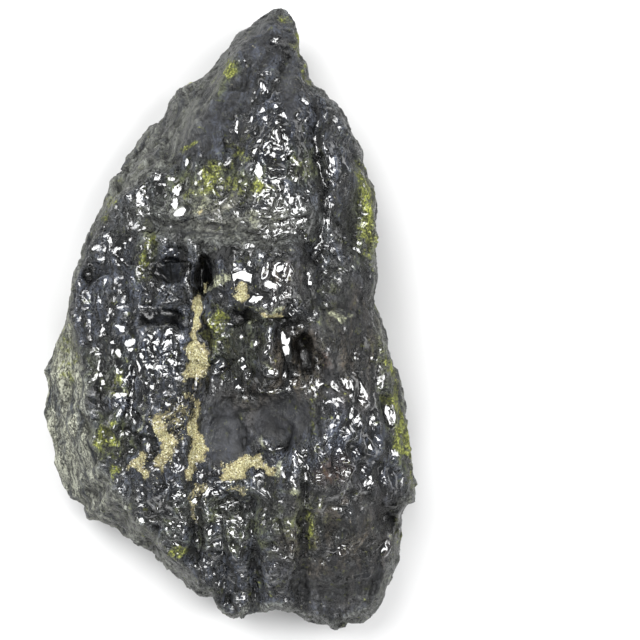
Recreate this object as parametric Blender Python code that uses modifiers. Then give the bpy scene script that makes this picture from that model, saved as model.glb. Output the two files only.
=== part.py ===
"""A rough lump of jade that lies on its flat back: one solid, broken and weathered all over.

The stone is a closed sphere of vertices that is wrapped onto the stone's form. Round the sphere a
vertex follows the outline that the stone has from above. From pole to pole it crosses the broken
upper face, drops over the rim, runs down the side and comes back under the stone to its middle.
Heights are worked out in millimetres from a few hand-set spot heights, then ridges, lumps, pits,
grooves and fracture planes are added, each as its own function.
"""

import math

import bmesh
import bpy
import numpy as np

MM = 0.001

# Driving sizes
LENGTH = 201.0 * MM
WIDTH = 121.0 * MM
HEIGHT = 80.0 * MM
TRIANGLES = 9900  # before the base is cut off
VOXEL = 1.2 * MM

# The sphere that is wrapped onto the form: segments round it, rings down it, and the shares of
# the rings at which the upper face ends and the underside starts.
SEGMENTS = 260
RINGS = 120
RIM_SHARE = 0.56
FOOT_SHARE = 0.72
CROWDING = 1.5  # how much closer the rings lie near the rim than in the middle

COLOUR = (0.045, 0.050, 0.052, 1.0)
ROUGHNESS = 0.35

# The outline from above, clockwise from the apex, in millimetres from the middle of the stone.
OUTLINE_MM = (
    (18.5, 100.5), (14, 99.5), (9, 96), (3.5, 92), (0, 87.5), (-3.5, 82.5),
    (-7.5, 79), (-15.5, 74.5), (-18.5, 70.5), (-22, 63), (-24, 62), (-29, 57.5),
    (-34.5, 47.5), (-38, 44), (-40, 38.5), (-44.5, 28), (-47, 22), (-49, 13.5),
    (-53, -2), (-56.5, -11.5), (-59.5, -17), (-58.5, -22), (-60.5, -29.5), (-57, -41),
    (-57, -45.5), (-52.5, -57), (-47, -60), (-46, -64), (-36.5, -68), (-34.5, -70),
    (-25, -75), (-23.5, -77.5), (-16, -83.5), (-9.5, -89), (-4.5, -89), (-3, -93.5),
    (1, -97), (4.5, -96), (6, -93.5), (10.5, -94), (16.5, -93), (21.5, -94),
    (26, -97), (33, -98.5), (35, -100.5), (39, -98.5), (48.5, -95), (51, -89),
    (55, -77), (56, -67.5), (56, -61.5), (57.5, -58.5), (60.5, -57), (60.5, -54),
    (58.5, -40), (55.5, -22.5), (52.5, -10), (49.5, -2.5), (47, 6.5), (47.5, 10),
    (48, 17), (47, 30), (48, 37.5), (47.5, 41.5), (43.5, 49.5), (43.5, 54),
    (38.5, 64), (34.5, 70), (30.5, 73.5), (27.5, 74.5), (26, 77.5), (25.5, 81.5),
    (23, 84.5), (23, 91), (22, 96.5),
)
HEART_MM = (0.5, -16.0)  # the point that every part of the outline can be seen from

# Spot heights on the upper face: x, y and height above the base.
SPOTS_MM = (
    # the thin end and the spine
    (18, 99, 28), (13, 86, 48), (20, 74, 56), (4, 73, 52), (16, 58, 68),
    (2, 55, 62), (31, 60, 57), (39, 50, 53), (-14, 48, 57), (-27, 39, 52),
    # the saddle across the stone
    (-6, 38, 64), (13, 39, 71), (29, 36, 66), (42, 34, 51), (-38, 22, 49),
    (-23, 23, 57), (-7, 26, 64), (11, 26, 71), (26, 26, 69), (40, 18, 57),
    # the boss and the blocks beside it
    (-43, 3, 50), (-30, 3, 56), (-14, 6, 61), (0, 9, 68), (13, 10, 75),
    (26, 9, 71), (37, 3, 64), (46, 6, 52), (-42, -19, 54), (-26, -16, 60),
    (-12, -15, 62), (0, -15, 62), (16, -12, 69), (31, -12, 67), (45, -16, 58),
    # the broad lower half
    (-38, -38, 54), (-21, -37, 60), (-9, -37, 59), (3, -36, 58), (17, -34, 61),
    (31, -34, 67), (45, -37, 58), (55, -44, 45), (-29, -57, 50), (-13, -56, 55),
    (5, -53, 58), (20, -52, 60), (35, -52, 60), (50, -60, 46), (-12, -73, 42),
    (4, -72, 47), (23, -72, 50), (39, -72, 47), (2, -91, 31), (20, -89, 36),
    (36, -94, 31), (46, -89, 33),
)

# Round the rim, by compass angle at the heart (0 is +X, 90 is +Y, in degrees): how high the rim
# is, and how wide the sloping flank is between the rim and the upper face.
RIM_STATIONS = (
    # angle, rim height, flank width
    (0, 36, 3.0), (30, 40, 2.5), (50, 38, 3.0), (60, 38, 4.0), (70, 36, 4.0),
    (77, 34, 3.0), (81, 24, 5.0), (86, 26, 6.0), (92, 27, 12.5), (100, 28, 21.0),
    (110, 28, 15.0), (121, 28, 8.0), (137, 30, 4.0), (150, 31, 2.5), (160, 28, 3.0),
    (170, 24, 8.0), (180, 21, 14.0), (190, 18, 17.0), (218, 18, 17.0), (230, 18, 15.0),
    (240, 18, 10.0), (250, 18, 8.5), (260, 19, 7.0), (267, 20, 3.0), (285, 22, 4.0),
    (300, 21, 5.0), (313, 28, 4.0), (325, 32, 4.0), (335, 34, 2.5),
)
FLANK_CURVE = 0.95  # under 1 bellies the flank out
LEAST_WALL = 7.0  # the least height of the side below the rim
WALL_BELLY = 1.0  # how far the side swells out below the rim
UNDERCUT = (4.5, 7.0, 38.0)  # how far the foot of the side lies in: mean, swing and swing's length

# Fracture planes of the underside: the way each one faces outwards, the distance from the
# origin at which it leaves the base, and its steepness.
UNDER_PLANES = (
    # direction x, direction y, distance, steepness
    (0.0, 1.0, 44.0, 0.40),
    (-0.80, -0.60, 50.0, 0.70),
    (1.0, 0.10, 38.0, 0.85),
    (0.25, -0.97, 73.0, 0.65),
    (-0.85, 0.53, 38.0, 0.80),
    (0.75, 0.66, 52.0, 0.75),
)
BASE_SINK = 8.0  # how far the rough underside reaches below the plane that it is cut at

# Lumps and pits: centre, half sizes, turn in degrees, height (a pit's is negative), bluntness.
LUMPS = {
    "boss": ((12.8, 10.9), (15.0, 10.5), 0, 2.0, 4.0),
    "boss_west": ((6.2, 12.4), (5.0, 4.5), 20, 2.0, 2.5),
    "boss_east": ((20.3, 13.3), (6.0, 4.5), -10, 2.2, 2.5),
    "boss_south": ((11.9, 2.8), (6.5, 3.5), 10, 2.5, 2.5),
    "knob": ((15.8, -11.5), (5.5, 10.0), -12, 6.0, 3.0),
    "shoulder": ((34.8, 56.7), (7.5, 15.0), 12, 4.0, 3.0),
    "right_panel": ((38.4, -26.0), (9.0, 22.0), 8, 2.5, 3.0),
    "left_block": ((-24.5, -7.8), (13.0, 13.0), 0, 2.5, 3.5),
    "left_block_low": ((-19.4, -34.0), (10.0, 14.0), 0, 2.0, 3.0),
    "foot_knob": ((2.2, -92.1), (4.5, 5.0), 0, 4.0, 2.5),
    "east_slope": ((29.5, -3.0), (6.0, 6.0), 0, 2.0, 2.0),
}
PITS = {
    "hollow": ((22.8, -8.8), (5.0, 9.0), 8, -9.0, 3.0),
    "cleft": ((-5.7, 13.2), (2.6, 8.0), -10, -6.5, 3.0),
    "left_pit": ((-42.2, 15.2), (3.5, 2.0), 0, -3.0, 2.0),
    "scoop_west": ((3.1, -36.0), (6.5, 10.0), 0, -3.5, 3.0),
    "scoop_east": ((18.5, -31.5), (11.0, 8.0), 5, -4.5, 3.0),
    "edge_notch": ((51.5, -64.0), (3.5, 6.5), 0, -5.5, 3.0),
    "low_pit": ((1.5, -57.4), (6.5, 3.0), 0, -4.0, 3.0),
    "strip": ((14.6, -22.2), (7.0, 2.2), 0, -3.0, 2.5),
    "west_dip": ((-1.5, -8.0), (4.0, 8.0), 0, -3.0, 2.5),
}

# Ledges: the edge's two ends (the drop is on the right of the way from first to second),
# the drop, and how far it takes to recover.
LEDGES = {
    "upper_ledge": ((-7.5, 18.0), (-26.0, 17.0), 6.5, 6.5),
    "lower_ledge": ((-9.0, 4.6), (-27.0, 4.0), 4.5, 6.0),
    "far_left_ledge": ((-34.0, 12.5), (-46.0, 10.5), 3.0, 5.0),
    "boss_foot": ((21.0, -1.5), (3.0, -0.5), 4.0, 8.0),
    "foot_step": ((8.0, -49.5), (-8.0, -49.0), 3.0, 9.0),
    "block_foot": ((-14.0, -45.0), (-33.0, -43.0), 2.5, 9.0),
}

# Grooves: the points each one runs through, half width, depth.
GROOVES = {
    "central": (((-7.5, 22.8), (-7.8, 6.0), (-8.5, -9.4), (-8.8, -24.7), (-8.6, -43.3),
                 (-8.4, -62.5), (-9.8, -75.8)), 2.1, 5.0),
    "furrow": (((28.0, 73.1), (29.0, 58.4), (29.9, 45.8), (30.8, 33.4), (29.9, 21.1)), 2.0, 4.0),
    "rib_west": (((-1.2, -62.3), (-1.0, -75.8), (-0.2, -89.8)), 1.6, 2.0),
    "rib_middle": (((9.2, -55.7), (9.2, -75.4), (9.4, -93.6)), 2.0, 3.5),
    "rib_east": (((25.0, -46.2), (25.5, -68.5), (24.8, -92.7)), 2.2, 3.5),
    "spine_west": (((5.2, 81.1), (3.8, 61.3), (2.4, 47.2)), 2.4, 2.0),
    "edge_crack": (((42.4, 48.2), (41.7, 37.1), (40.7, 21.5)), 1.8, 2.5),
    "saddle": (((-23.3, 29.2), (-7.4, 27.9), (8.1, 29.5), (23.2, 26.5), (32.3, 22.7)), 3.6, 2.8),
}

# How far lumps, pits, ledges and grooves wander off their drawn lines, and over what length.
WANDER_LAYERS = ((1.5, 16.0), (0.7, 5.0))

# Roughness: (cell size, height) of each layer of noise, in millimetres.
BROKEN_LAYERS = ((22.0, 1.6), (9.0, 1.1))
FACET_CELLS = ((17.0, 0.13), (8.0, 0.12))
FIBRE_LENGTH = 3.0  # how much longer a fibre ridge is along Y than it is wide
FLUTE_LAYER = (6.0, 1.5)
SIDE_LAYER = (27.0, 3.2)  # broad lumps of the side and the underside alone
RIM_CALM = 0.35  # the share of the roughness that is left in the outline itself
CALM_SHARE = 0.07  # how far from the rim, in shares of the rings, the calm reaches
MOST_SWELL = 0.8  # how far the side may stand out past the outline
SEED = 41


def lattice_hash(cell, seed):
    """A fixed pseudo-random number from 0 to 1 for each lattice cell."""
    i, j, k = (cell[:, axis].astype(np.uint32) for axis in range(3))
    mixed = i * np.uint32(374761393) + j * np.uint32(668265263) + k * np.uint32(2246822519)
    mixed = mixed + np.uint32(seed * 3266489 + 1)
    mixed = (mixed ^ (mixed >> np.uint32(13))) * np.uint32(1274126177)
    mixed = (mixed ^ (mixed >> np.uint32(16))) * np.uint32(2654435769)
    return (mixed ^ (mixed >> np.uint32(15))).astype(np.float64) / 2.0**32


def corner_offsets(reach):
    """The lattice steps from -reach+1 to reach along each axis."""
    steps = range(1 - reach, reach + 1)
    return [np.array((i, j, k)) for i in steps for j in steps for k in steps]


def smooth_noise(points, size, seed):
    """Gradient noise of about -1 to 1: at each lattice corner a random slope is laid down, and
    the eight slopes round a point are blended by a quintic curve."""
    scaled = points / size
    floor = np.floor(scaled)
    part = scaled - floor
    blend = part**3 * (part * (part * 6 - 15) + 10)
    total = np.zeros(len(points))
    for corner in corner_offsets(1):
        cell = (floor + corner).astype(np.int64)
        slope = np.stack([lattice_hash(cell, seed + n) for n in (11, 23, 37)], axis=1) * 2 - 1
        weight = np.prod(np.where(corner == 1, blend, 1 - blend), axis=1)
        total += weight * ((part - corner) * slope).sum(axis=1)
    return total * 1.6


def facet_noise(points, size, seed):
    """Broken facets: space is parted into cells round scattered seeds, and inside each cell the
    surface is one tilted plane through its seed."""
    scaled = points / size
    floor = np.floor(scaled)
    nearest = np.full(len(points), np.inf)
    height = np.zeros(len(points))
    for i in (-1, 0, 1):
        for j in (-1, 0, 1):
            for k in (-1, 0, 1):
                cell = (floor + (i, j, k)).astype(np.int64)
                jitter = np.stack([lattice_hash(cell, seed + n) for n in (3, 5, 7)], axis=1)
                away = scaled - (floor + (i, j, k) + jitter)
                tilt = np.stack([lattice_hash(cell, seed + n) for n in (13, 17, 19)], axis=1)
                distance = (away**2).sum(axis=1)
                closer = distance < nearest
                nearest = np.where(closer, distance, nearest)
                height = np.where(closer, (away * (tilt * 2 - 1)).sum(axis=1), height)
    return height * size


def smooth_step(value):
    value = np.clip(value, 0.0, 1.0)
    return value * value * (3 - 2 * value)


def outline_at(share):
    """The point of the outline at each share of its length, counted anticlockwise from -X."""
    points = np.array(OUTLINE_MM)
    angles = np.arctan2(points[:, 1] - HEART_MM[1], points[:, 0] - HEART_MM[0])
    points = points[np.argsort(angles)]
    ring = np.vstack([points, points[:1]])
    lengths = np.hypot(*np.diff(ring, axis=0).T)
    reached = np.concatenate([[0.0], np.cumsum(lengths)]) / lengths.sum()
    return np.stack([np.interp(share % 1.0, reached, ring[:, axis]) for axis in (0, 1)], axis=1)


def at_rim(plan, column):
    """A rim value at the compass angle of each plan point, straight between the stations."""
    stations = np.array(RIM_STATIONS)
    angles = np.degrees(np.arctan2(plan[:, 1] - HEART_MM[1], plan[:, 0] - HEART_MM[0]))
    return np.interp(angles, stations[:, 0], stations[:, column], period=360)


def spot_surface(plan):
    """The smooth surface through the spot heights: a sum of cones, one under each spot, plus a
    tilted plane."""
    spots = np.array(SPOTS_MM, dtype=float)
    places = spots[:, :2]
    gaps = np.hypot(*(places[:, None, :] - places[None, :, :]).transpose(2, 0, 1))
    plane = np.hstack([np.ones((len(spots), 1)), places])
    system = np.block([[gaps, plane], [plane.T, np.zeros((3, 3))]])
    weights = np.linalg.solve(system, np.concatenate([spots[:, 2], np.zeros(3)]))
    reach = np.hypot(*(plan[:, None, :] - places[None, :, :]).transpose(2, 0, 1))
    return reach @ weights[:-3] + weights[-3] + plan @ weights[-2:]


def lump(plan, centre, half_sizes, turn, height, bluntness):
    """A mound that falls away as exp(-q^bluntness), q being the distance in half sizes."""
    turn = math.radians(turn)
    dx = plan[:, 0] - centre[0]
    dy = plan[:, 1] - centre[1]
    along = (dx * math.cos(turn) + dy * math.sin(turn)) / half_sizes[0]
    across = (dy * math.cos(turn) - dx * math.sin(turn)) / half_sizes[1]
    return height * np.exp(-np.hypot(along, across) ** bluntness)


def ledge(plan, first, second, drop, recovery):
    """A sharp drop beside a straight edge, that rises back to nothing with distance."""
    first = np.array(first)
    way = np.array(second) - first
    length = np.hypot(*way)
    way = way / length
    offset = plan - first
    along = offset @ way / length
    beside = offset @ np.array((way[1], -way[0]))
    inside = smooth_step(along / 0.15) * smooth_step((1 - along) / 0.15)
    return -drop * inside * smooth_step(beside / 1.2) * np.exp(-np.maximum(beside, 0) / recovery)


def groove(plan, path, half_width, depth):
    """A trough along a line of points, fading out over its last few millimetres."""
    nearest = np.full(len(plan), np.inf)
    for start, end in zip(path[:-1], path[1:]):
        start = np.array(start)
        way = np.array(end) - start
        share = np.clip(((plan - start) @ way) / (way @ way), 0.0, 1.0)
        gap = np.hypot(*(plan - start - share[:, None] * way).T)
        nearest = np.minimum(nearest, gap)
    return -depth * np.exp(-((nearest / half_width) ** 2))


def wandered(plan):
    """The plan points shifted a little by noise, so that drawn lines look broken."""
    level = np.hstack([plan, np.zeros((len(plan), 1))])
    shift = np.zeros_like(plan)
    for layer, (swing, length) in enumerate(WANDER_LAYERS):
        for axis in (0, 1):
            shift[:, axis] += swing * smooth_noise(level, length, SEED + 150 + 2 * layer + axis)
    return plan + shift


def upper_height(plan, inward):
    """Height of the upper face; inward is the distance in from the rim."""
    face = spot_surface(plan)
    drawn = wandered(plan)
    for shape in (*LUMPS.values(), *PITS.values()):
        face = face + lump(drawn, *shape)
    for shape in LEDGES.values():
        face = face + ledge(drawn, *shape)
    for shape in GROOVES.values():
        face = face + groove(drawn, *shape)
    rim = at_rim(plan, 1)
    climb = np.clip(inward / at_rim(plan, 2), 0.0, 1.0) ** FLANK_CURVE
    return rim + (face - rim) * climb


def under_height(plan, rim):
    """Height of the underside: the highest of the fracture planes, and the base between them."""
    height = np.full(len(plan), -BASE_SINK)
    for x, y, distance, steepness in UNDER_PLANES:
        height = np.maximum(height, steepness * (plan @ np.array((x, y)) - distance))
    return np.minimum(height, rim - LEAST_WALL)


def undercut(edge):
    """How far the foot of the side lies in from the outline."""
    mean, swing, length = UNDERCUT
    level = np.hstack([edge, np.zeros((len(edge), 1))])
    return np.maximum(mean + swing * smooth_noise(level, length, SEED + 120), 0.5)


def wrapped(share_round, share_down):
    """Where each vertex of the sphere lies on the form, and which way it is roughened.

    share_round goes once round the outline. share_down goes from the middle of the upper face
    (0) over the rim (RIM_SHARE) and the foot of the side (FOOT_SHARE) to the middle below (1)."""
    heart = np.array(HEART_MM)
    edge = outline_at(share_round)
    outward = (edge - heart) / np.hypot(*(edge - heart).T)[:, None]
    rim = at_rim(edge, 1)
    foot_edge = edge - outward * undercut(edge)[:, None]
    foot = under_height(foot_edge, rim)
    top = share_down <= RIM_SHARE
    low = share_down >= FOOT_SHARE
    down = np.clip((share_down - RIM_SHARE) / (FOOT_SHARE - RIM_SHARE), 0.0, 1.0)
    reach = np.where(top, share_down / RIM_SHARE, 1.0)
    reach = np.where(low, (1 - share_down) / (1 - FOOT_SHARE), reach)
    reach = 1 - (1 - reach) ** CROWDING
    side = edge + (foot_edge - edge) * (down**1.6)[:, None]
    side = side + outward * (WALL_BELLY * np.sin(math.pi * down))[:, None]
    plan = heart + (side - heart) * reach[:, None]
    inward = np.hypot(*(edge - plan).T)
    height = np.where(top, upper_height(plan, inward), under_height(plan, rim))
    height = np.where(~top & ~low, rim + (foot - rim) * down, height)
    facing = smooth_step(1.35 * reach - 0.35) * (math.pi / 2)
    upward = np.where(low, -np.cos(facing), np.cos(facing))
    normal = np.hstack([outward * np.sin(facing)[:, None], upward[:, None]])
    return np.hstack([plan, height[:, None]]), normal


def roughness(points, share_down):
    """How far each point stands out of the plain form: broken facets, lumps of noise, and
    fibres along Y that make flutes on the steep flank. The outline stays nearly as drawn."""
    rough = np.zeros(len(points))
    for layer, (size, height) in enumerate(BROKEN_LAYERS):
        rough += height * smooth_noise(points, size, SEED + layer)
    for layer, (size, slope) in enumerate(FACET_CELLS):
        rough += slope * facet_noise(points, size, SEED + 50 + layer)
    fibres = points / np.array((1.0, FIBRE_LENGTH, FIBRE_LENGTH))
    rough += FLUTE_LAYER[1] * smooth_noise(fibres, FLUTE_LAYER[0], SEED + 90)
    below = smooth_step((share_down - RIM_SHARE) / CALM_SHARE)
    rough += below * SIDE_LAYER[1] * smooth_noise(points, SIDE_LAYER[0], SEED + 130)
    rough -= below * np.maximum(rough - MOST_SWELL, 0.0) * (share_down < FOOT_SHARE)
    calm = RIM_CALM + (1 - RIM_CALM) * smooth_step(abs(share_down - RIM_SHARE) / CALM_SHARE)
    return rough * calm


def wrap_sphere(mesh):
    """Moves the vertices of a unit sphere onto the stone."""
    flat = np.empty(len(mesh.vertices) * 3)
    mesh.vertices.foreach_get("co", flat)
    sphere = flat.reshape(-1, 3)
    share_round = np.arctan2(sphere[:, 1], sphere[:, 0]) / (2 * math.pi)
    share_down = np.arccos(np.clip(sphere[:, 2], -1.0, 1.0)) / math.pi
    points, normal = wrapped(share_round, share_down)
    points = points + normal * roughness(points, share_down)[:, None]
    mesh.vertices.foreach_set("co", (points * MM).ravel())
    mesh.update()


def bake_modifier(obj):
    """Replaces the object's mesh by the result of its modifier."""
    graph = bpy.context.evaluated_depsgraph_get()
    result = bpy.data.meshes.new_from_object(obj.evaluated_get(graph))
    obj.modifiers.clear()
    obj.data = result


def even_out(obj):
    """Rebuilds the stretched sphere mesh as an even one, then thins it to about TRIANGLES
    triangles, which keeps most of them on the sharp forms."""
    remesh = obj.modifiers.new("Even", "REMESH")
    remesh.mode = "VOXEL"
    remesh.voxel_size = VOXEL
    bake_modifier(obj)
    decimate = obj.modifiers.new("Thin", "DECIMATE")
    decimate.ratio = TRIANGLES / (2 * len(obj.data.polygons))
    bake_modifier(obj)


def cut_base(mesh):
    """Cuts the rough underside off flat at height 0, which gives the face that the stone rests on."""
    cut = bmesh.new()
    cut.from_mesh(mesh)
    every = cut.verts[:] + cut.edges[:] + cut.faces[:]
    result = bmesh.ops.bisect_plane(
        cut, geom=every, dist=1e-6, plane_co=(0, 0, 0), plane_no=(0, 0, 1), clear_inner=True
    )
    rim = [item for item in result["geom_cut"] if isinstance(item, bmesh.types.BMEdge)]
    base = bmesh.ops.holes_fill(cut, edges=rim, sides=0)
    bmesh.ops.triangulate(cut, faces=base["faces"])
    bmesh.ops.dissolve_degenerate(cut, dist=1e-5, edges=cut.edges[:])
    bmesh.ops.triangulate(cut, faces=cut.faces[:])
    bmesh.ops.recalc_face_normals(cut, faces=cut.faces[:])
    cut.to_mesh(mesh)
    cut.free()


def fit_to_size(mesh):
    """Brings the stone to its exact size, centred over the origin and standing on height 0."""
    flat = np.empty(len(mesh.vertices) * 3)
    mesh.vertices.foreach_get("co", flat)
    points = flat.reshape(-1, 3)
    low = points.min(axis=0)
    size = points.max(axis=0) - low
    wanted = np.array((WIDTH, LENGTH, HEIGHT))
    shift = np.array((WIDTH / 2, LENGTH / 2, 0.0))
    points = (points - low) / size * wanted - shift
    mesh.vertices.foreach_set("co", points.ravel())
    mesh.update()


def jade_material():
    material = bpy.data.materials.new("jade")
    material.use_nodes = True
    shader = material.node_tree.nodes["Principled BSDF"]
    shader.inputs["Base Color"].default_value = COLOUR
    shader.inputs["Roughness"].default_value = ROUGHNESS
    shader.inputs["Metallic"].default_value = 0.0
    return material


def stone():
    """The whole stone as one mesh object."""
    mesh = bpy.data.meshes.new("jade_stone")
    ball = bmesh.new()
    bmesh.ops.create_uvsphere(ball, u_segments=SEGMENTS, v_segments=RINGS, radius=1.0)
    bmesh.ops.triangulate(ball, faces=ball.faces[:])
    ball.to_mesh(mesh)
    ball.free()
    wrap_sphere(mesh)
    obj = bpy.data.objects.new("jade_stone", mesh)
    collection = bpy.data.collections.new("jade")
    bpy.context.scene.collection.children.link(collection)
    collection.objects.link(obj)
    even_out(obj)
    cut_base(obj.data)
    fit_to_size(obj.data)
    obj.data.materials.clear()
    obj.data.materials.append(jade_material())
    return obj


for old in list(bpy.data.objects):
    bpy.data.objects.remove(old, do_unlink=True)

jade = stone()
print(jade.name, len(jade.data.polygons), "triangles")
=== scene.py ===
# %% [markdown]
# A rough lump of jade
# A hand-sized broken stone lies on its flat back. It is nephrite: a tough felt of fine fibres that
# breaks along hackly, fibrous faces. The broken top is wet, so it is nearly black between its
# glints. The flanks keep a dry, grey-green fibrous skin. Yellow-green weathering follows the
# cracks, and sand sits in the grooves. The lesson works the whole surface out with numpy, paints it
# with a procedural material, and scatters the sand as real grains.

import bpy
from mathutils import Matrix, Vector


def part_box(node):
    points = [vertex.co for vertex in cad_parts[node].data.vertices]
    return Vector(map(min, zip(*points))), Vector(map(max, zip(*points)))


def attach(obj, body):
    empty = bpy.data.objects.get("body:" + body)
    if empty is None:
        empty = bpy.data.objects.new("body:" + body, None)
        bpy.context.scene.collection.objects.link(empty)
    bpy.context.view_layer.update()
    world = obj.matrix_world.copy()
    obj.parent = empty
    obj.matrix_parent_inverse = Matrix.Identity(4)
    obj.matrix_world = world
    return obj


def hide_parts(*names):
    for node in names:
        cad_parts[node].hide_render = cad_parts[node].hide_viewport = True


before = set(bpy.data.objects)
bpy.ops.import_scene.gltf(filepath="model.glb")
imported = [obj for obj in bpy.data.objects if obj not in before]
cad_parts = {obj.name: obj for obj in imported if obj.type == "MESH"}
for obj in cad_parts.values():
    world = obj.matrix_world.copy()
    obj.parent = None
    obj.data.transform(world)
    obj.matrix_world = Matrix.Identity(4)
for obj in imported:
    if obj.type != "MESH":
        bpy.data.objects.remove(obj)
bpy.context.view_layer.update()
stone_low, stone_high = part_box("jade_stone")
print("stone box in metres", stone_low, stone_high)

# %% Tools and units
import math

import bpy
import numpy as np
from mathutils import Vector

MM = 0.001
SEED = 41  # every noise and every random draw starts from it
print("working in units of", MM, "metres")

# %% [markdown]
# The outline
# Seen from above the stone is a long drop with a blunt point at one end. It could be traced as a
# spline, but a broken edge has corners, so it is a plain polygon. Only the points that its corners
# need are set, in millimetres from the middle of the stone. One point inside, the heart, sees the
# whole outline, so every place on the upper face is a share of the way from the heart to it.

# %% The outline from above
OUTLINE_MM = (
    (18.5, 100.5), (14, 99.5), (9, 96), (3.5, 92), (0, 87.5), (-3.5, 82.5),
    (-7.5, 79), (-15.5, 74.5), (-18.5, 70.5), (-22, 63), (-24, 62), (-29, 57.5),
    (-34.5, 47.5), (-38, 44), (-40, 38.5), (-44.5, 28), (-47, 22), (-49, 13.5),
    (-53, -2), (-56.5, -11.5), (-59.5, -17), (-58.5, -22), (-60.5, -29.5), (-57, -41),
    (-57, -45.5), (-52.5, -57), (-47, -60), (-46, -64), (-36.5, -68), (-34.5, -70),
    (-25, -75), (-23.5, -77.5), (-16, -83.5), (-9.5, -89), (-4.5, -89), (-3, -93.5),
    (1, -97), (4.5, -96), (6, -93.5), (10.5, -94), (16.5, -93), (21.5, -94),
    (26, -97), (33, -98.5), (35, -100.5), (39, -98.5), (48.5, -95), (51, -89),
    (55, -77), (56, -67.5), (56, -61.5), (57.5, -58.5), (60.5, -57), (60.5, -54),
    (58.5, -40), (55.5, -22.5), (52.5, -10), (49.5, -2.5), (47, 6.5), (47.5, 10),
    (48, 17), (47, 30), (48, 37.5), (47.5, 41.5), (43.5, 49.5), (43.5, 54),
    (38.5, 64), (34.5, 70), (30.5, 73.5), (27.5, 74.5), (26, 77.5), (25.5, 81.5),
    (23, 84.5), (23, 91), (22, 96.5),
)
HEART_MM = (0.5, -16.0)  # the place inside that sees the whole outline


def smooth_step(value):
    """0 below nought, 1 above one, and 3v^2 - 2v^3 between them, which has no corners."""
    value = np.clip(value, 0.0, 1.0)
    return value * value * (3 - 2 * value)


def compass(plan):
    """The angle in degrees from +X at which the heart sees each plan point."""
    offset = plan - np.array(HEART_MM)
    return np.degrees(np.arctan2(offset[:, 1], offset[:, 0]))


def outline_at(share):
    """The point of the outline at each share of its length, counted anticlockwise from -X."""
    points = np.array(OUTLINE_MM)
    points = points[np.argsort(compass(points))]
    ring = np.vstack([points, points[:1]])
    lengths = np.hypot(*np.diff(ring, axis=0).T)
    reached = np.concatenate([[0.0], np.cumsum(lengths)]) / lengths.sum()
    return np.stack([np.interp(share % 1.0, reached, ring[:, axis]) for axis in (0, 1)], axis=1)


print("outline points:", len(OUTLINE_MM))

# %% [markdown]
# Noise without a texture
# Rock needs noise that gives the same value at the same place each run. Each lattice corner gets a
# fixed pseudo-random number from an integer hash. Smooth noise blends slopes between the corners,
# which makes lumps. Facet noise gives each scattered cell one tilted plane, which makes the flat
# chips of a broken face. Both take a whole array of points at once.

# %% Smooth noise
AXIS_FACTORS = (374761393, 668265263, 2246822519)  # big odd numbers, one for each axis
SEED_FACTOR = 3266489
BIT_FOLDS = ((13, 1274126177), (16, 2654435769))  # shift and factor of each fold
LAST_FOLD = 15
NOISE_GAIN = 1.6  # brings the blended slopes up to about -1 to 1


def lattice_hash(cell, seed):
    """A fixed pseudo-random number from 0 to 1 for each lattice cell: its three whole numbers are
    multiplied by big odd ones, and the bits of their sum are folded onto each other."""
    mixed = np.uint32(seed * SEED_FACTOR + 1)
    for axis, factor in enumerate(AXIS_FACTORS):
        mixed = mixed + cell[:, axis].astype(np.uint32) * np.uint32(factor)
    for shift, factor in BIT_FOLDS:
        mixed = (mixed ^ (mixed >> np.uint32(shift))) * np.uint32(factor)
    return (mixed ^ (mixed >> np.uint32(LAST_FOLD))).astype(np.float64) / 2.0**32


def hashed_vectors(cell, seed, offsets):
    """Three such numbers for each cell, one for each offset of the seed."""
    return np.stack([lattice_hash(cell, seed + offset) for offset in offsets], axis=1)


def lattice_steps(first, last):
    """The lattice steps from first to last along each of the three axes."""
    steps = range(first, last + 1)
    return [np.array((i, j, k)) for i in steps for j in steps for k in steps]


def smooth_noise(points, size, seed):
    """Gradient noise of about -1 to 1: at each lattice corner a random slope is laid down, and
    the eight slopes round a point are blended by a quintic curve."""
    scaled = points / size
    floor = np.floor(scaled)
    part = scaled - floor
    blend = part**3 * (part * (part * 6 - 15) + 10)
    total = np.zeros(len(points))
    for corner in lattice_steps(0, 1):
        cell = (floor + corner).astype(np.int64)
        slope = hashed_vectors(cell, seed, (11, 23, 37)) * 2 - 1
        weight = np.prod(np.where(corner == 1, blend, 1 - blend), axis=1)
        total += weight * ((part - corner) * slope).sum(axis=1)
    return total * NOISE_GAIN


print("one lattice cell's number:", lattice_hash(np.array([[1, 2, 3]]), SEED).round(3))

# %% Faceted noise
def facet_noise(points, size, seed):
    """Broken facets: space is parted into cells round scattered seeds, and inside each cell the
    surface is one tilted plane through its seed."""
    scaled = points / size
    floor = np.floor(scaled)
    nearest = np.full(len(points), np.inf)
    height = np.zeros(len(points))
    for step in lattice_steps(-1, 1):
        cell = (floor + step).astype(np.int64)
        jitter = hashed_vectors(cell, seed, (3, 5, 7))
        tilt = hashed_vectors(cell, seed, (13, 17, 19)) * 2 - 1
        away = scaled - (floor + step + jitter)
        distance = (away**2).sum(axis=1)
        closer = distance < nearest
        nearest = np.where(closer, distance, nearest)
        height = np.where(closer, (away * tilt).sum(axis=1), height)
    return height * size


print("cells looked at for each point:", len(lattice_steps(-1, 1)))
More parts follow.
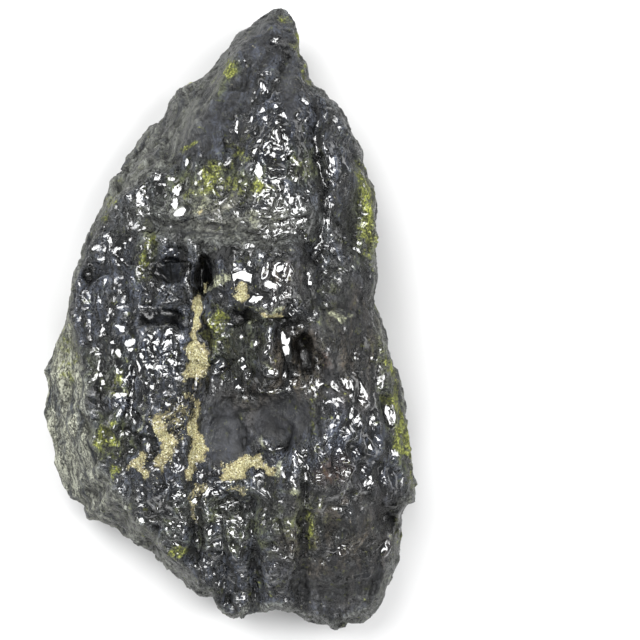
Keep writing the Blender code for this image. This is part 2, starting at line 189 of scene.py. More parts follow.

# %% [markdown]
# The big form
# The height of the upper face starts as a smooth surface through a few given spot heights, as on
# a survey map. A tilted plane plus one cone under each spot is enough, and one linear solve finds
# the cones. The flank between the rim and the upper face is a straight climb, whose width is set at
# stations round the rim.

# %% Spot heights
# x, y and height of each spot
SPOTS_MM = (
    # the thin end and the spine
    (18, 99, 28), (13, 86, 48), (20, 74, 56), (4, 73, 52), (16, 58, 68),
    (2, 55, 62), (31, 60, 57), (39, 50, 53), (-14, 48, 57), (-27, 39, 52),
    # the saddle across the stone
    (-6, 38, 64), (13, 39, 71), (29, 36, 66), (42, 34, 51), (-38, 22, 49),
    (-23, 23, 57), (-7, 26, 64), (11, 26, 71), (26, 26, 69), (40, 18, 57),
    # the boss and the blocks beside it
    (-43, 3, 50), (-30, 3, 56), (-14, 6, 61), (0, 9, 68), (13, 10, 75),
    (26, 9, 71), (37, 3, 64), (46, 6, 52), (-42, -19, 54), (-26, -16, 60),
    (-12, -15, 62), (0, -15, 62), (16, -12, 69), (31, -12, 67), (45, -16, 58),
    # the broad lower half
    (-38, -38, 54), (-21, -37, 60), (-9, -37, 59), (3, -36, 58), (17, -34, 61),
    (31, -34, 67), (45, -37, 58), (55, -44, 45), (-29, -57, 50), (-13, -56, 55),
    (5, -53, 58), (20, -52, 60), (35, -52, 60), (50, -60, 46), (-12, -73, 42),
    (4, -72, 47), (23, -72, 50), (39, -72, 47), (2, -91, 31), (20, -89, 36),
    (36, -94, 31), (46, -89, 33),
)


def spot_surface(plan):
    """The smooth surface through the spot heights: a sum of cones, one under each spot, plus a
    tilted plane."""
    spots = np.array(SPOTS_MM, dtype=float)
    places = spots[:, :2]
    gaps = np.hypot(*(places[:, None, :] - places[None, :, :]).transpose(2, 0, 1))
    plane = np.hstack([np.ones((len(spots), 1)), places])
    system = np.block([[gaps, plane], [plane.T, np.zeros((3, 3))]])
    weights = np.linalg.solve(system, np.concatenate([spots[:, 2], np.zeros(3)]))
    reach = np.hypot(*(plan[:, None, :] - places[None, :, :]).transpose(2, 0, 1))
    return reach @ weights[:-3] + weights[-3] + plan @ weights[-2:]


print("spots:", len(SPOTS_MM))

# %% The rim
# compass angle at the heart in degrees, rim height, flank width
RIM_STATIONS = (
    (0, 36, 3.0), (30, 40, 2.5), (50, 38, 3.0), (60, 38, 4.0), (70, 36, 4.0),
    (77, 34, 3.0), (81, 24, 5.0), (86, 26, 6.0), (92, 27, 12.5), (100, 28, 21.0),
    (110, 28, 15.0), (121, 28, 8.0), (137, 30, 4.0), (150, 31, 2.5), (160, 28, 3.0),
    (170, 24, 8.0), (180, 21, 14.0), (190, 18, 17.0), (218, 18, 17.0), (230, 18, 15.0),
    (240, 18, 10.0), (250, 18, 8.5), (260, 19, 7.0), (267, 20, 3.0), (285, 22, 4.0),
    (300, 21, 5.0), (313, 28, 4.0), (325, 32, 4.0), (335, 34, 2.5),
)
RIM_HEIGHT, FLANK_WIDTH = 1, 2  # which number of a station is which
FLANK_CURVE = 0.95  # under 1 bellies the flank out
LEAST_WALL = 7.0  # the least height of the side below the rim
WALL_BELLY = 1.0  # how far the side swells out below the rim
UNDERCUT = (4.5, 7.0, 38.0)  # how far the foot of the side lies in: mean, swing and swing's length


def at_stations(stations, plan, column):
    """One of the stations' numbers at the compass angle of each plan point, straight between."""
    stations = np.array(stations)
    return np.interp(compass(plan), stations[:, 0], stations[:, column], period=360)


def at_rim(plan, column):
    """The rim's height or the flank's width beside each plan point."""
    return at_stations(RIM_STATIONS, plan, column)


print("rim stations:", len(RIM_STATIONS))

# %% [markdown]
# Lumps, ledges and grooves
# What makes this stone itself is its drawn forms: the boss and the knob below it, the black hollow
# beside them, the long groove that parts the two lower blocks, the ledges on the left and the ribs
# at the foot. Each is one line of values and one short formula. Their lines are bent by a little
# noise, because nothing on a broken stone is straight.

# %% Drawn forms
# middle, half sizes, turn in degrees, height and bluntness of each mound, and of each pit
LUMPS = {
    "boss": ((12.8, 10.9), (15.0, 10.5), 0, 2.0, 4.0),
    "boss_west": ((6.2, 12.4), (5.0, 4.5), 20, 2.0, 2.5),
    "boss_east": ((20.3, 13.3), (6.0, 4.5), -10, 2.2, 2.5),
    "boss_south": ((11.9, 2.8), (6.5, 3.5), 10, 2.5, 2.5),
    "knob": ((15.8, -11.5), (5.5, 10.0), -12, 6.0, 3.0),
    "shoulder": ((34.8, 56.7), (7.5, 15.0), 12, 4.0, 3.0),
    "right_panel": ((38.4, -26.0), (9.0, 22.0), 8, 2.5, 3.0),
    "left_block": ((-24.5, -7.8), (13.0, 13.0), 0, 2.5, 3.5),
    "left_block_low": ((-19.4, -34.0), (10.0, 14.0), 0, 2.0, 3.0),
    "foot_knob": ((2.2, -92.1), (4.5, 5.0), 0, 4.0, 2.5),
    "east_slope": ((29.5, -3.0), (6.0, 6.0), 0, 2.0, 2.0),
}
PITS = {
    "hollow": ((22.8, -8.8), (5.0, 9.0), 8, -9.0, 3.0),
    "cleft": ((-5.7, 13.2), (2.6, 8.0), -10, -6.5, 3.0),
    "left_pit": ((-42.2, 15.2), (3.5, 2.0), 0, -3.0, 2.0),
    "scoop_west": ((3.1, -36.0), (6.5, 10.0), 0, -3.5, 3.0),
    "scoop_east": ((18.5, -31.5), (11.0, 8.0), 5, -4.5, 3.0),
    "edge_notch": ((51.5, -64.0), (3.5, 6.5), 0, -5.5, 3.0),
    "low_pit": ((1.5, -57.4), (6.5, 3.0), 0, -4.0, 3.0),
    "strip": ((14.6, -22.2), (7.0, 2.2), 0, -3.0, 2.5),
    "west_dip": ((-1.5, -8.0), (4.0, 8.0), 0, -3.0, 2.5),
}
# first and second end of the edge, drop, and how far it takes to rise again
LEDGES = {
    "upper_ledge": ((-7.5, 18.0), (-26.0, 17.0), 6.5, 6.5),
    "lower_ledge": ((-9.0, 4.6), (-27.0, 4.0), 4.5, 6.0),
    "far_left_ledge": ((-34.0, 12.5), (-46.0, 10.5), 3.0, 5.0),
    "boss_foot": ((21.0, -1.5), (3.0, -0.5), 4.0, 8.0),
    "foot_step": ((8.0, -49.5), (-8.0, -49.0), 3.0, 9.0),
    "block_foot": ((-14.0, -45.0), (-33.0, -43.0), 2.5, 9.0),
}
# the points of the line, half width and depth
GROOVES = {
    "central": (((-7.5, 22.8), (-7.8, 6.0), (-8.5, -9.4), (-8.8, -24.7), (-8.6, -43.3),
                 (-8.4, -62.5), (-9.8, -75.8)), 2.1, 5.0),
    "furrow": (((28.0, 73.1), (29.0, 58.4), (29.9, 45.8), (30.8, 33.4), (29.9, 21.1)), 2.0, 4.0),
    "rib_west": (((-1.2, -62.3), (-1.0, -75.8), (-0.2, -89.8)), 1.6, 2.0),
    "rib_middle": (((9.2, -55.7), (9.2, -75.4), (9.4, -93.6)), 2.0, 3.5),
    "rib_east": (((25.0, -46.2), (25.5, -68.5), (24.8, -92.7)), 2.2, 3.5),
    "spine_west": (((5.2, 81.1), (3.8, 61.3), (2.4, 47.2)), 2.4, 2.0),
    "edge_crack": (((42.4, 48.2), (41.7, 37.1), (40.7, 21.5)), 1.8, 2.5),
    "saddle": (((-23.3, 29.2), (-7.4, 27.9), (8.1, 29.5), (23.2, 26.5), (32.3, 22.7)), 3.6, 2.8),
}
print("drawn forms:", sum(map(len, (LUMPS, PITS, LEDGES, GROOVES))))

# %% The formula of each form
LEDGE_END = 0.15  # the share of a ledge's length over which it begins and ends
LEDGE_EDGE = 1.2  # how far beside the edge the drop is complete
WANDER_LAYERS = ((1.5, 16.0), (0.7, 5.0))  # swing and length of the bends in drawn lines


def lump(plan, centre, half_sizes, turn, height, bluntness):
    """A mound that falls away as exp(-q^bluntness), q being the distance in half sizes."""
    turn = math.radians(turn)
    dx = plan[:, 0] - centre[0]
    dy = plan[:, 1] - centre[1]
    along = (dx * math.cos(turn) + dy * math.sin(turn)) / half_sizes[0]
    across = (dy * math.cos(turn) - dx * math.sin(turn)) / half_sizes[1]
    return height * np.exp(-np.hypot(along, across) ** bluntness)


def ledge(plan, first, second, drop, recovery):
    """A sharp drop on the right of a straight edge, that rises back as exp(-distance / recovery)."""
    first = np.array(first)
    way = np.array(second) - first
    length = np.hypot(*way)
    way = way / length
    offset = plan - first
    along = offset @ way / length
    beside = offset @ np.array((way[1], -way[0]))
    inside = smooth_step(along / LEDGE_END) * smooth_step((1 - along) / LEDGE_END)
    return -drop * inside * smooth_step(beside / LEDGE_EDGE) * np.exp(-np.maximum(beside, 0) / recovery)


def groove(plan, path, half_width, depth):
    """A trough along a line of points: minus the depth times exp(-(distance / half width)^2)."""
    nearest = np.full(len(plan), np.inf)
    for start, end in zip(path[:-1], path[1:]):
        start = np.array(start)
        way = np.array(end) - start
        share = np.clip(((plan - start) @ way) / (way @ way), 0.0, 1.0)
        gap = np.hypot(*(plan - start - share[:, None] * way).T)
        nearest = np.minimum(nearest, gap)
    return -depth * np.exp(-((nearest / half_width) ** 2))


def wandered(plan):
    """The plan points shifted a little by noise, so that drawn lines look broken."""
    level = np.hstack([plan, np.zeros((len(plan), 1))])
    shift = np.zeros_like(plan)
    for layer, (swing, length) in enumerate(WANDER_LAYERS):
        for axis in (0, 1):
            shift[:, axis] += swing * smooth_noise(level, length, SEED + 150 + 2 * layer + axis)
    return plan + shift


print("deepest groove:", max(depth for _, _, depth in GROOVES.values()), "mm")

# %% [markdown]
# Upper face, side and underside
# The surface is a function of two parameters. One goes round the outline. The other goes from the
# middle of the upper face over the rim, down the side and back to the middle of the underside. The
# underside is the highest of a few fracture planes, and the stone lies on the flat between them.

# %% The wrapped form
RIM_SHARE = 0.56  # how far down the surface the rim is, of the way from the top to the bottom
FOOT_SHARE = 0.72  # how far down the foot of the side is
CROWDING = 1.5  # over 1 draws the rows closer together towards the rim
SIDE_CURVE = 1.6  # over 1 keeps the side upright below the rim and draws its foot in late
FACING_GAIN, FACING_SHIFT = 1.35, 0.35  # how late the roughening turns from upward to outward
LEAST_UNDERCUT = 0.5
UNDER_PLANES = (
    # direction x, direction y, distance, steepness
    (0.0, 1.0, 44.0, 0.40),
    (-0.80, -0.60, 50.0, 0.70),
    (1.0, 0.10, 38.0, 0.85),
    (0.25, -0.97, 73.0, 0.65),
    (-0.85, 0.53, 38.0, 0.80),
    (0.75, 0.66, 52.0, 0.75),
)
BASE_SINK = 8.0  # how far the rough underside reaches below the plane that it is cut at


def upper_height(plan, inward):
    """Height of the upper face; inward is the distance in from the rim."""
    face = spot_surface(plan)
    drawn = wandered(plan)
    for shape in (*LUMPS.values(), *PITS.values()):
        face = face + lump(drawn, *shape)
    for shape in LEDGES.values():
        face = face + ledge(drawn, *shape)
    for shape in GROOVES.values():
        face = face + groove(drawn, *shape)
    rim = at_rim(plan, RIM_HEIGHT)
    climb = np.clip(inward / at_rim(plan, FLANK_WIDTH), 0.0, 1.0) ** FLANK_CURVE
    return rim + (face - rim) * climb


def under_height(plan, rim):
    """Height of the underside: the highest of the fracture planes, and the base between them."""
    height = np.full(len(plan), -BASE_SINK)
    for x, y, distance, steepness in UNDER_PLANES:
        height = np.maximum(height, steepness * (plan @ np.array((x, y)) - distance))
    return np.minimum(height, rim - LEAST_WALL)


def undercut(edge):
    """How far the foot of the side lies in from the outline."""
    mean, swing, length = UNDERCUT
    level = np.hstack([edge, np.zeros((len(edge), 1))])
    return np.maximum(mean + swing * smooth_noise(level, length, SEED + 120), LEAST_UNDERCUT)


def wrapped(share_round, share_down):
    """Where each vertex of the sphere lies on the form, and which way it is roughened.

    share_round goes once round the outline. share_down goes from the middle of the upper face
    (0) over the rim (RIM_SHARE) and the foot of the side (FOOT_SHARE) to the middle below (1)."""
    heart = np.array(HEART_MM)
    edge = outline_at(share_round)
    outward = (edge - heart) / np.hypot(*(edge - heart).T)[:, None]
    rim = at_rim(edge, RIM_HEIGHT)
    foot_edge = edge - outward * undercut(edge)[:, None]
    foot = under_height(foot_edge, rim)
    top = share_down <= RIM_SHARE
    low = share_down >= FOOT_SHARE
    down = np.clip((share_down - RIM_SHARE) / (FOOT_SHARE - RIM_SHARE), 0.0, 1.0)
    reach = np.where(top, share_down / RIM_SHARE, 1.0)
    reach = np.where(low, (1 - share_down) / (1 - FOOT_SHARE), reach)
    reach = 1 - (1 - reach) ** CROWDING
    side = edge + (foot_edge - edge) * (down**SIDE_CURVE)[:, None]
    side = side + outward * (WALL_BELLY * np.sin(math.pi * down))[:, None]
    plan = heart + (side - heart) * reach[:, None]
    inward = np.hypot(*(edge - plan).T)
    height = np.where(top, upper_height(plan, inward), under_height(plan, rim))
    height = np.where(~top & ~low, rim + (foot - rim) * down, height)
    facing = smooth_step(FACING_GAIN * reach - FACING_SHIFT) * (math.pi / 2)
    upward = np.where(low, -np.cos(facing), np.cos(facing))
    normal = np.hstack([outward * np.sin(facing)[:, None], upward[:, None]])
    return np.hstack([plan, height[:, None]]), normal


print("planes of the underside:", len(UNDER_PLANES))

# %% [markdown]
# Coarse roughness
# A broken face is rough at every size. The coarse part, from six millimetres up, is laid on here:
# lumps and facets everywhere, flutes along the fibres, and broad lumps on the side and below. It
# could be sculpted by hand, but seeded noise comes out the same each run.

# %% Coarse roughness
BROKEN_LAYERS = ((22.0, 1.6), (9.0, 1.1))  # length and height of the lumps
FACET_CELLS = ((17.0, 0.13), (8.0, 0.12))  # size and steepness of the facets
FIBRE_LENGTH = 3.0  # how much longer a fibre ridge is along Y than it is wide
FLUTE_LAYER = (6.0, 1.5)  # length across and height of the flutes
SIDE_LAYER = (27.0, 3.2)  # broad lumps of the side and the underside alone
RIM_CALM = 0.35  # the share of the roughness that is left in the outline itself
CALM_SHARE = 0.07  # how far from the rim, in shares of the rings, the calm reaches
MOST_SWELL = 0.8  # how far the side may stand out past the outline


def roughness(points, share_down):
    """How far each point stands out of the plain form: broken facets, lumps of noise, and
    fibres along Y that make flutes on the steep flank. The outline stays nearly as drawn."""
    rough = np.zeros(len(points))
    for layer, (size, height) in enumerate(BROKEN_LAYERS):
        rough += height * smooth_noise(points, size, SEED + layer)
    for layer, (size, slope) in enumerate(FACET_CELLS):
        rough += slope * facet_noise(points, size, SEED + 50 + layer)
    fibres = points / np.array((1.0, FIBRE_LENGTH, FIBRE_LENGTH))
    rough += FLUTE_LAYER[1] * smooth_noise(fibres, FLUTE_LAYER[0], SEED + 90)
    below = smooth_step((share_down - RIM_SHARE) / CALM_SHARE)
    rough += below * SIDE_LAYER[1] * smooth_noise(points, SIDE_LAYER[0], SEED + 130)
    rough -= below * np.maximum(rough - MOST_SWELL, 0.0) * (share_down < FOOT_SHARE)
    calm = RIM_CALM + (1 - RIM_CALM) * smooth_step(abs(share_down - RIM_SHARE) / CALM_SHARE)
    return rough * calm


print("layers of roughness:", len(BROKEN_LAYERS) + len(FACET_CELLS) + 2)

# %% [markdown]
# Where each finish lies
# Wet gloss, dull scoops, weathering and sand each keep to their own places. A mask is the strongest
# of a few soft-edged ovals, worked out at each vertex and stored on the mesh. The material later
# breaks the soft edges up with noise, so no oval shows.

# %% Sand and weathering
# middle, half sizes, turn in degrees and strength of each oval
SAND_PATCHES = {
    "groove_top": ((-8.6, 1.0), (2.3, 7.0), 0, 1.0),
    "groove_wide": ((-8.9, -10.0), (2.9, 11.0), 0, 1.0),
    "groove_bulge": ((-8.3, -13.5), (3.4, 4.6), 20, 0.9),
    "groove_hook": ((-11.0, -18.5), (2.4, 2.6), 0, 0.8),
    "groove_low": ((-8.8, -36.0), (2.5, 14.0), 0, 0.95),
    "left_tail": ((-18.2, -37.0), (3.7, 11.8), -8, 0.85),
    "left_spot": ((-26.3, -44.9), (4.0, 2.8), 20, 0.75),
    "shelf_west": ((2.1, -46.5), (5.4, 3.8), 0, 1.0),
    "shelf_middle": ((7.7, -43.7), (4.7, 2.8), 15, 1.0),
    "shelf_east": ((13.2, -45.9), (3.7, 1.7), 0, 0.8),
    "boss_patch": ((4.4, 8.8), (2.8, 2.1), -15, 0.95),
    "boss_arc": ((14.8, 2.3), (4.7, 1.3), 10, 0.75),
    "saddle_spot": ((-6.8, 32.6), (2.2, 1.7), 0, 0.7),
    "cleft_side": ((-4.1, 10.6), (1.4, 3.1), -15, 0.75),
    "left_veil": ((-13.9, -28.6), (7.3, 7.6), 0, 0.42),
    "shelf_foot": ((6.1, -52.7), (4.7, 2.1), 0, 0.5),
    "groove_foot": ((-8.4, -55.7), (1.8, 9.0), 0, 0.5),
}
LIME_PATCHES = {
    "end_left": ((0.9, 78.9), (1.9, 3.7), -10, 0.95),
    "north_spot": ((-10.9, 53.9), (2.5, 1.9), 10, 0.9),
    "saddle_west": ((-4.1, 43.7), (4.0, 4.0), 0, 0.75),
    "saddle_mid": ((3.0, 46.2), (1.5, 2.8), 0, 0.7),
    "saddle_east": ((12.0, 39.1), (2.8, 2.8), 0, 0.7),
    "saddle_veil": ((-0.1, 40.0), (15.4, 3.4), 0, 0.42),
    "right_strip": ((43.9, 33.5), (2.3, 14.0), 3, 1.0),
    "right_margin": ((55.2, -32.6), (1.9, 22.2), 13, 0.9),
    "left_streak": ((-24.1, 19.9), (1.5, 6.8), -6, 0.7),
    "ridge_spot": ((-36.5, -37.0), (3.4, 5.5), 0, 0.8),
    "ridge_bright": ((-33.7, -46.5), (1.9, 2.2), 0, 1.0),
    "left_olive": ((-31.9, -19.3), (2.8, 4.6), 0, 0.7),
    "cleft_bright": ((-1.0, -0.8), (2.2, 2.5), 0, 1.0),
    "cleft_veil": ((-3.1, -5.4), (3.1, 6.8), 0, 0.5),
    "flank_low": ((-15.2, -73.0), (2.2, 3.4), -20, 0.75),
    "ridge_low": ((-29.4, -58.2), (1.9, 1.5), 0, 0.7),
    "rib_streak": ((26.2, -63.5), (1.5, 9.3), 0, 0.6),
    "east_foot": ((54.0, -66.5), (1.5, 5.6), 0, 0.6),
    "end_rim": ((22.5, 86.9), (1.2, 8.0), -6, 0.65),
    "end_tip": ((18.8, 96.2), (2.5, 1.5), 0, 0.5),
    "foot_streak": ((10.8, -83.5), (1.5, 4.0), 0, 0.4),
    "spine_veil": ((23.7, 47.7), (2.8, 4.6), 0, 0.4),
    "end_east": ((25.9, 75.2), (1.5, 4.6), 0, 0.5),
    "far_left": ((-38.3, 33.2), (1.9, 6.8), -20, 0.45),
    "spine_olive": ((4.6, 52.3), (4.6, 5.6), 0, 0.35),
    "panel_olive": ((27.1, -34.1), (1.9, 13.0), 0, 0.35),
    "flank_top": ((-51.6, -7.9), (3.1, 6.8), -15, 0.5),
    "flank_mid": ((-51.0, -16.2), (4.3, 6.2), 0, 0.45),
}
print("sand patches:", len(SAND_PATCHES), "lime patches:", len(LIME_PATCHES))

# %% Wet and dull zones
WET_ZONES = {
    "left_block": ((-30.0, -15.6), (13.0, 19.1), 0, 0.95),
    "north_west": ((-19.5, 38.4), (14.8, 9.3), 0, 0.85),
    "west_edge": ((-34.9, 24.5), (6.8, 13.0), 0, 0.6),
    "spine": ((18.5, 47.7), (13.9, 29.3), 0, 1.0),
    "boss": ((15.4, 11.6), (16.1, 9.9), 0, 1.0),
    "knob": ((18.5, -7.9), (9.9, 10.5), 0, 0.8),
    "hollow_low": ((14.0, -19.2), (11.5, 6.0), -6, 1.0),
    "centre": ((4.0, -11.0), (8.0, 11.0), 0, 0.85),
    "tail_spots": ((36.5, -73.0), (5.5, 2.6), 0, 0.9),
    "tail_low": ((43.0, -80.5), (6.0, 2.4), 8, 0.85),
    "rib_east": ((21.0, -71.0), (4.0, 9.0), 0, 0.9),
    "right_panel": ((43.0, -33.5), (15.5, 22.5), 10, 1.0),
    "scoop_rim": ((24.6, -46.5), (8.0, 11.7), -20, 0.85),
    "lower_left": ((-9.3, -60.4), (22.2, 15.4), 0, 0.85),
    "lower_mid": ((4.6, -71.2), (11.1, 8.6), 0, 0.85),
    "lower_right": ((30.8, -58.2), (8.0, 6.2), 0, 0.6),
    "foot_right": ((40.5, -56.0), (11.0, 9.0), 0, 0.8),
    "tail_side": ((47.8, -71.2), (6.2, 4.3), 0, 0.65),
    "groove_side": ((-16.4, -7.9), (9.9, 13.6), 0, 0.85),
    "shoulder": ((34.8, 47.7), (8.3, 11.1), 0, 0.75),
    "shelf": ((4.6, -51.1), (6.8, 4.3), 0, 0.6),
    "saddle_east": ((26.8, 27.6), (7.4, 8.6), 0, 0.9),
    "east_slope": ((36.1, 16.8), (4.0, 7.4), 0, 0.6),
    "far_left": ((-38.0, 9.1), (6.8, 13.6), 0, 0.65),
    "tip": ((16.0, 87.0), (3.5, 4.0), 0, 0.8),
}
SMOOTH_ZONES = {
    "scoop_west": ((0.9, -34.7), (8.6, 11.1), 0, 1.0),
    "scoop_east": ((18.5, -30.2), (12.4, 7.6), 0, 1.0),
    "spine_band": ((20.3, 70.2), (2.3, 10.5), 0, 1.0),
    "slope": ((31.0, -4.2), (4.0, 4.6), 0, 0.4),
    "tail_block": ((37.0, -84.1), (17.3, 10.5), 0, 0.5),
    "panel_top": ((33.5, -17.0), (5.0, 12.0), 0, 0.35),
    "saddle": ((-3.1, 27.6), (16.1, 3.7), 0, 0.45),
    "north_face": ((-7.8, 61.6), (13.0, 12.4), -35, 0.6),
    "upslope": ((0.0, 72.0), (11.0, 12.0), -30, 0.5),
    "apex": ((11.0, 88.0), (10.0, 11.0), -20, 0.45),
    "east_slope": ((37.5, 2.0), (7.0, 11.0), 10, 0.3),
    "foot_right": ((40.0, -62.0), (9.0, 8.0), 0, 0.3),
}
print("wet zones:", len(WET_ZONES), "dull zones:", len(SMOOTH_ZONES))

# %% Warm, olive, black, pale and rusty zones
WARM_ZONES = {
    "hollow": ((23.0, -16.4), (10.5, 17.0), 0, 1.0),
    "scoop": ((10.6, -25.1), (19.0, 11.0), 0, 0.7),
    "tail": ((35.5, -69.7), (22.0, 24.0), 0, 0.8),
    "slope": ((39.3, -7.3), (11.0, 22.0), 0, 0.8),
    "boss": ((17.0, 9.0), (16.0, 12.0), 0, 0.5),
    "saddle": ((2.0, 33.0), (22.0, 9.0), 0, 0.45),
}
OLIVE_ZONES = {
    "saddle": ((-3.8, 41.6), (21.0, 8.0), 0, 0.8),
    "right_strip": ((43.9, 31.9), (5.5, 18.0), 3, 1.0),
    "left_streak": ((-24.6, 20.4), (4.0, 10.0), -6, 0.8),
    "left_mid": ((-37.7, -16.1), (9.0, 11.0), 0, 0.6),
    "lower_left": ((-35.9, -36.6), (9.0, 9.0), 0, 0.9),
    "centre": ((5.0, -7.3), (10.0, 9.0), 0, 0.8),
    "foot": ((3.4, -62.5), (33.0, 12.0), 0, 0.55),
    "spine": ((24.6, 46.3), (7.0, 9.0), 0, 0.7),
    "end_left": ((0.0, 76.0), (4.0, 8.0), -35, 0.8),
    "rim": ((53.5, -30.0), (4.5, 27.0), 13, 0.9),
    "rib": ((26.0, -60.0), (8.0, 12.0), 0, 0.6),
    "boss_side": ((33.0, 6.0), (7.0, 12.0), 0, 0.5),
    "knee": ((12.0, 0.0), (13.0, 4.0), 0, 0.5),
}
# black in the pits, the cleft, the groove's wall, below the boss and round the hollow is painted shade;
# in the other zones it is the stone's own dark tone
BLACK_AND_PAINTED_SHADE_ZONES = {
    "pit_upper": ((-17.4, 15.6), (8.6, 4.0), 0, 1.0),
    "pit_lower": ((-18.4, 0.8), (8.8, 3.7), 0, 1.0),
    "cleft_upper": ((-5.6, 14.2), (3.4, 8.5), -8, 0.85),
    "cleft_lower": ((-5.3, -4.3), (3.0, 6.4), 0, 1.0),
    "groove_wall": ((-4.8, -18.0), (2.0, 9.0), 0, 0.6),
    "cleft_top": ((0.3, 20.4), (5.5, 2.6), 10, 0.9),
    "boss_foot": ((5.3, 1.7), (5.5, 3.0), 0, 0.7),
    "hollow": ((24.6, -8.8), (5.4, 9.8), 14, 0.66),
    "hollow_top": ((20.0, -0.2), (6.5, 2.2), -12, 0.8),
    "hollow_low": ((14.0, -17.5), (9.0, 5.0), 15, 0.55),
    "left_edge": ((-39.6, -23.2), (3.5, 5.5), 0, 0.8),
    "left_top": ((-42.0, 14.0), (5.0, 7.5), 0, 0.55),
    "end": ((18.7, 85.2), (5.0, 6.0), 0, 0.7),
    "lower_right": ((53.6, -61.6), (4.5, 10.0), 0, 0.8),
    "tail": ((33.0, -84.0), (14.0, 10.0), 0, 0.55),
    "shoulder": ((46.5, 40.0), (4.0, 9.0), 10, 0.6),
    "spine_side": ((9.0, 62.0), (4.0, 14.0), 0, 0.5),
    "spine": ((20.0, 56.0), (11.0, 24.0), 0, 0.5),
}
PALE_SPOTS = {
    "boss_east": ((35.4, 1.4), (1.7, 3.4), 0, 1.0),
    "boss_ledge": ((14.0, 3.7), (5.0, 0.9), 12, 0.7),
    "boss_south": ((9.5, -1.5), (3.0, 0.9), -30, 0.6),
    "knob_south": ((14.5, -14.0), (1.3, 3.0), 25, 0.7),
    "saddle_west": ((-9.0, 33.5), (7.0, 1.4), 18, 0.7),
    "saddle_mid": ((8.0, 31.0), (5.0, 1.2), 12, 0.6),
    "cleft_lip": ((-1.0, 12.0), (1.5, 3.5), -25, 0.7),
    "scoop_seam": ((14.0, -38.0), (8.0, 1.0), -35, 0.5),
    "shelf_east": ((18.0, -45.0), (4.5, 1.0), 35, 0.7),
    "left_arm": ((-25.5, -31.0), (1.5, 5.0), -35, 0.6),
    "foot_spot": ((22.0, -52.0), (2.0, 2.0), 0, 0.5),
}
RUST_SPOTS = {
    "panel_foot": ((33.9, -46.3), (6.5, 5.5), 0, 0.7),
    "hollow_east": ((31.0, -12.0), (2.5, 3.0), 0, 0.6),
}
print("black zones:", len(BLACK_AND_PAINTED_SHADE_ZONES), "pale spots:", len(PALE_SPOTS))

# %% Masks at the vertices
SADDLE_ZONE = ((0.0, 30.0), (30.0, 9.0), -4, 1.0, 4.0)  # where the fibres lie across the stone
# compass angle at the heart in degrees, how dry and pale the skin of the flank is
DRY_STATIONS = (
    (0, 0.20), (60, 0.12), (85, 0.12), (95, 0.25), (112, 0.35), (130, 0.35), (150, 0.38),
    (165, 0.85), (180, 1.0), (205, 0.95), (220, 0.58), (238, 0.36), (262, 0.28), (285, 0.20),
    (320, 0.18),
)
DRY_SADDLE = 0.26  # how dry the saddle is
DRY_BELOW = 0.45  # how dry the side and the underside are at least
DAMP = 0.48  # how wet the upper face is between its wettest places
# the share of the water that each finish sheds
SHED_BY_LIME, SHED_BY_BLACK, SHED_BY_STEEP, SHED_BY_DULL = 0.6, 0.65, 0.9, 0.85
BLACK_FROM, BLACK_OVER = 0.5, 0.3  # where a black place begins to shed, and over how much
UPPER_FROM, UPPER_OVER = 9.0, 7.0  # millimetres below the rim to which the upper finishes reach
SKIN_FROM, SKIN_OVER = 0.8, 0.35  # where the dry skin ends on the flank, in flank widths
PATCH_BLUNTNESS = 3.0  # the ovals of the masks fade as exp(-q^3)
FRAY_LAYERS = ((7.0, 3.4), (3.0, 1.7), (1.4, 0.7))  # size and reach of the ragged edges
# size, middle and swing of the patches that the finishes make on the side and below
BELOW_WET_PATCHES, BELOW_WEATHER_PATCHES = (24.0, 0.5, 0.9), (17.0, -0.1, 1.8)
BELOW_WET_LEAST, BELOW_WET_MORE = 0.15, 0.7  # the least that those places are wet, and what is added
WEATHERED, WEATHERED_OLIVE = 0.75, 0.5  # how strong the weathering below is, and its olive share


def strongest(plan, patches):
    """The strongest of a set of soft ovals at each plan point, from 0 to 1."""
    best = np.zeros(len(plan))
    for centre, half_sizes, turn, strength in patches.values():
        oval = lump(plan, centre, half_sizes, turn, strength, PATCH_BLUNTNESS)
        best = np.maximum(best, oval)
    return best


def frayed(plan):
    """Plan points moved about by fine noise, so that the edges of sand and weathering run ragged."""
    level = np.column_stack([plan, np.zeros(len(plan))])
    moved = plan.copy()
    for layer, (size, reach) in enumerate(FRAY_LAYERS):
        for axis in (0, 1):
            moved[:, axis] += reach * smooth_noise(level, size, SEED + 330 + 2 * layer + axis)
    return moved


def rim_reach(plan):
    """How far the outline lies from the heart at each plan point's compass angle."""
    corners = np.array(OUTLINE_MM)
    angles = compass(corners)
    order = np.argsort(angles)
    reach = np.hypot(*(corners - HEART_MM).T)
    return np.interp(compass(plan), angles[order], reach[order], period=360)


def upper_share(points):
    """1 on the upper face, 0 on the lower part of the side and below."""
    above_rim = points[:, 2] - at_rim(points[:, :2], RIM_HEIGHT)
    return smooth_step((above_rim + UPPER_FROM) / UPPER_OVER)


def dry_skin(plan):
    """How much each plan point lies on the flank, and how dry the flank is at its angle."""
    inward = rim_reach(plan) - np.hypot(*(plan - HEART_MM).T)
    skin = 1 - smooth_step((inward / at_rim(plan, FLANK_WIDTH) - SKIN_FROM) / SKIN_OVER)
    return skin, at_stations(DRY_STATIONS, plan, 1)


def noise_patches(points, size, middle, swing, seed):
    """Soft patches from 0 to 1: noise times a swing about a middle value."""
    return smooth_step(middle + swing * smooth_noise(points, size, seed))


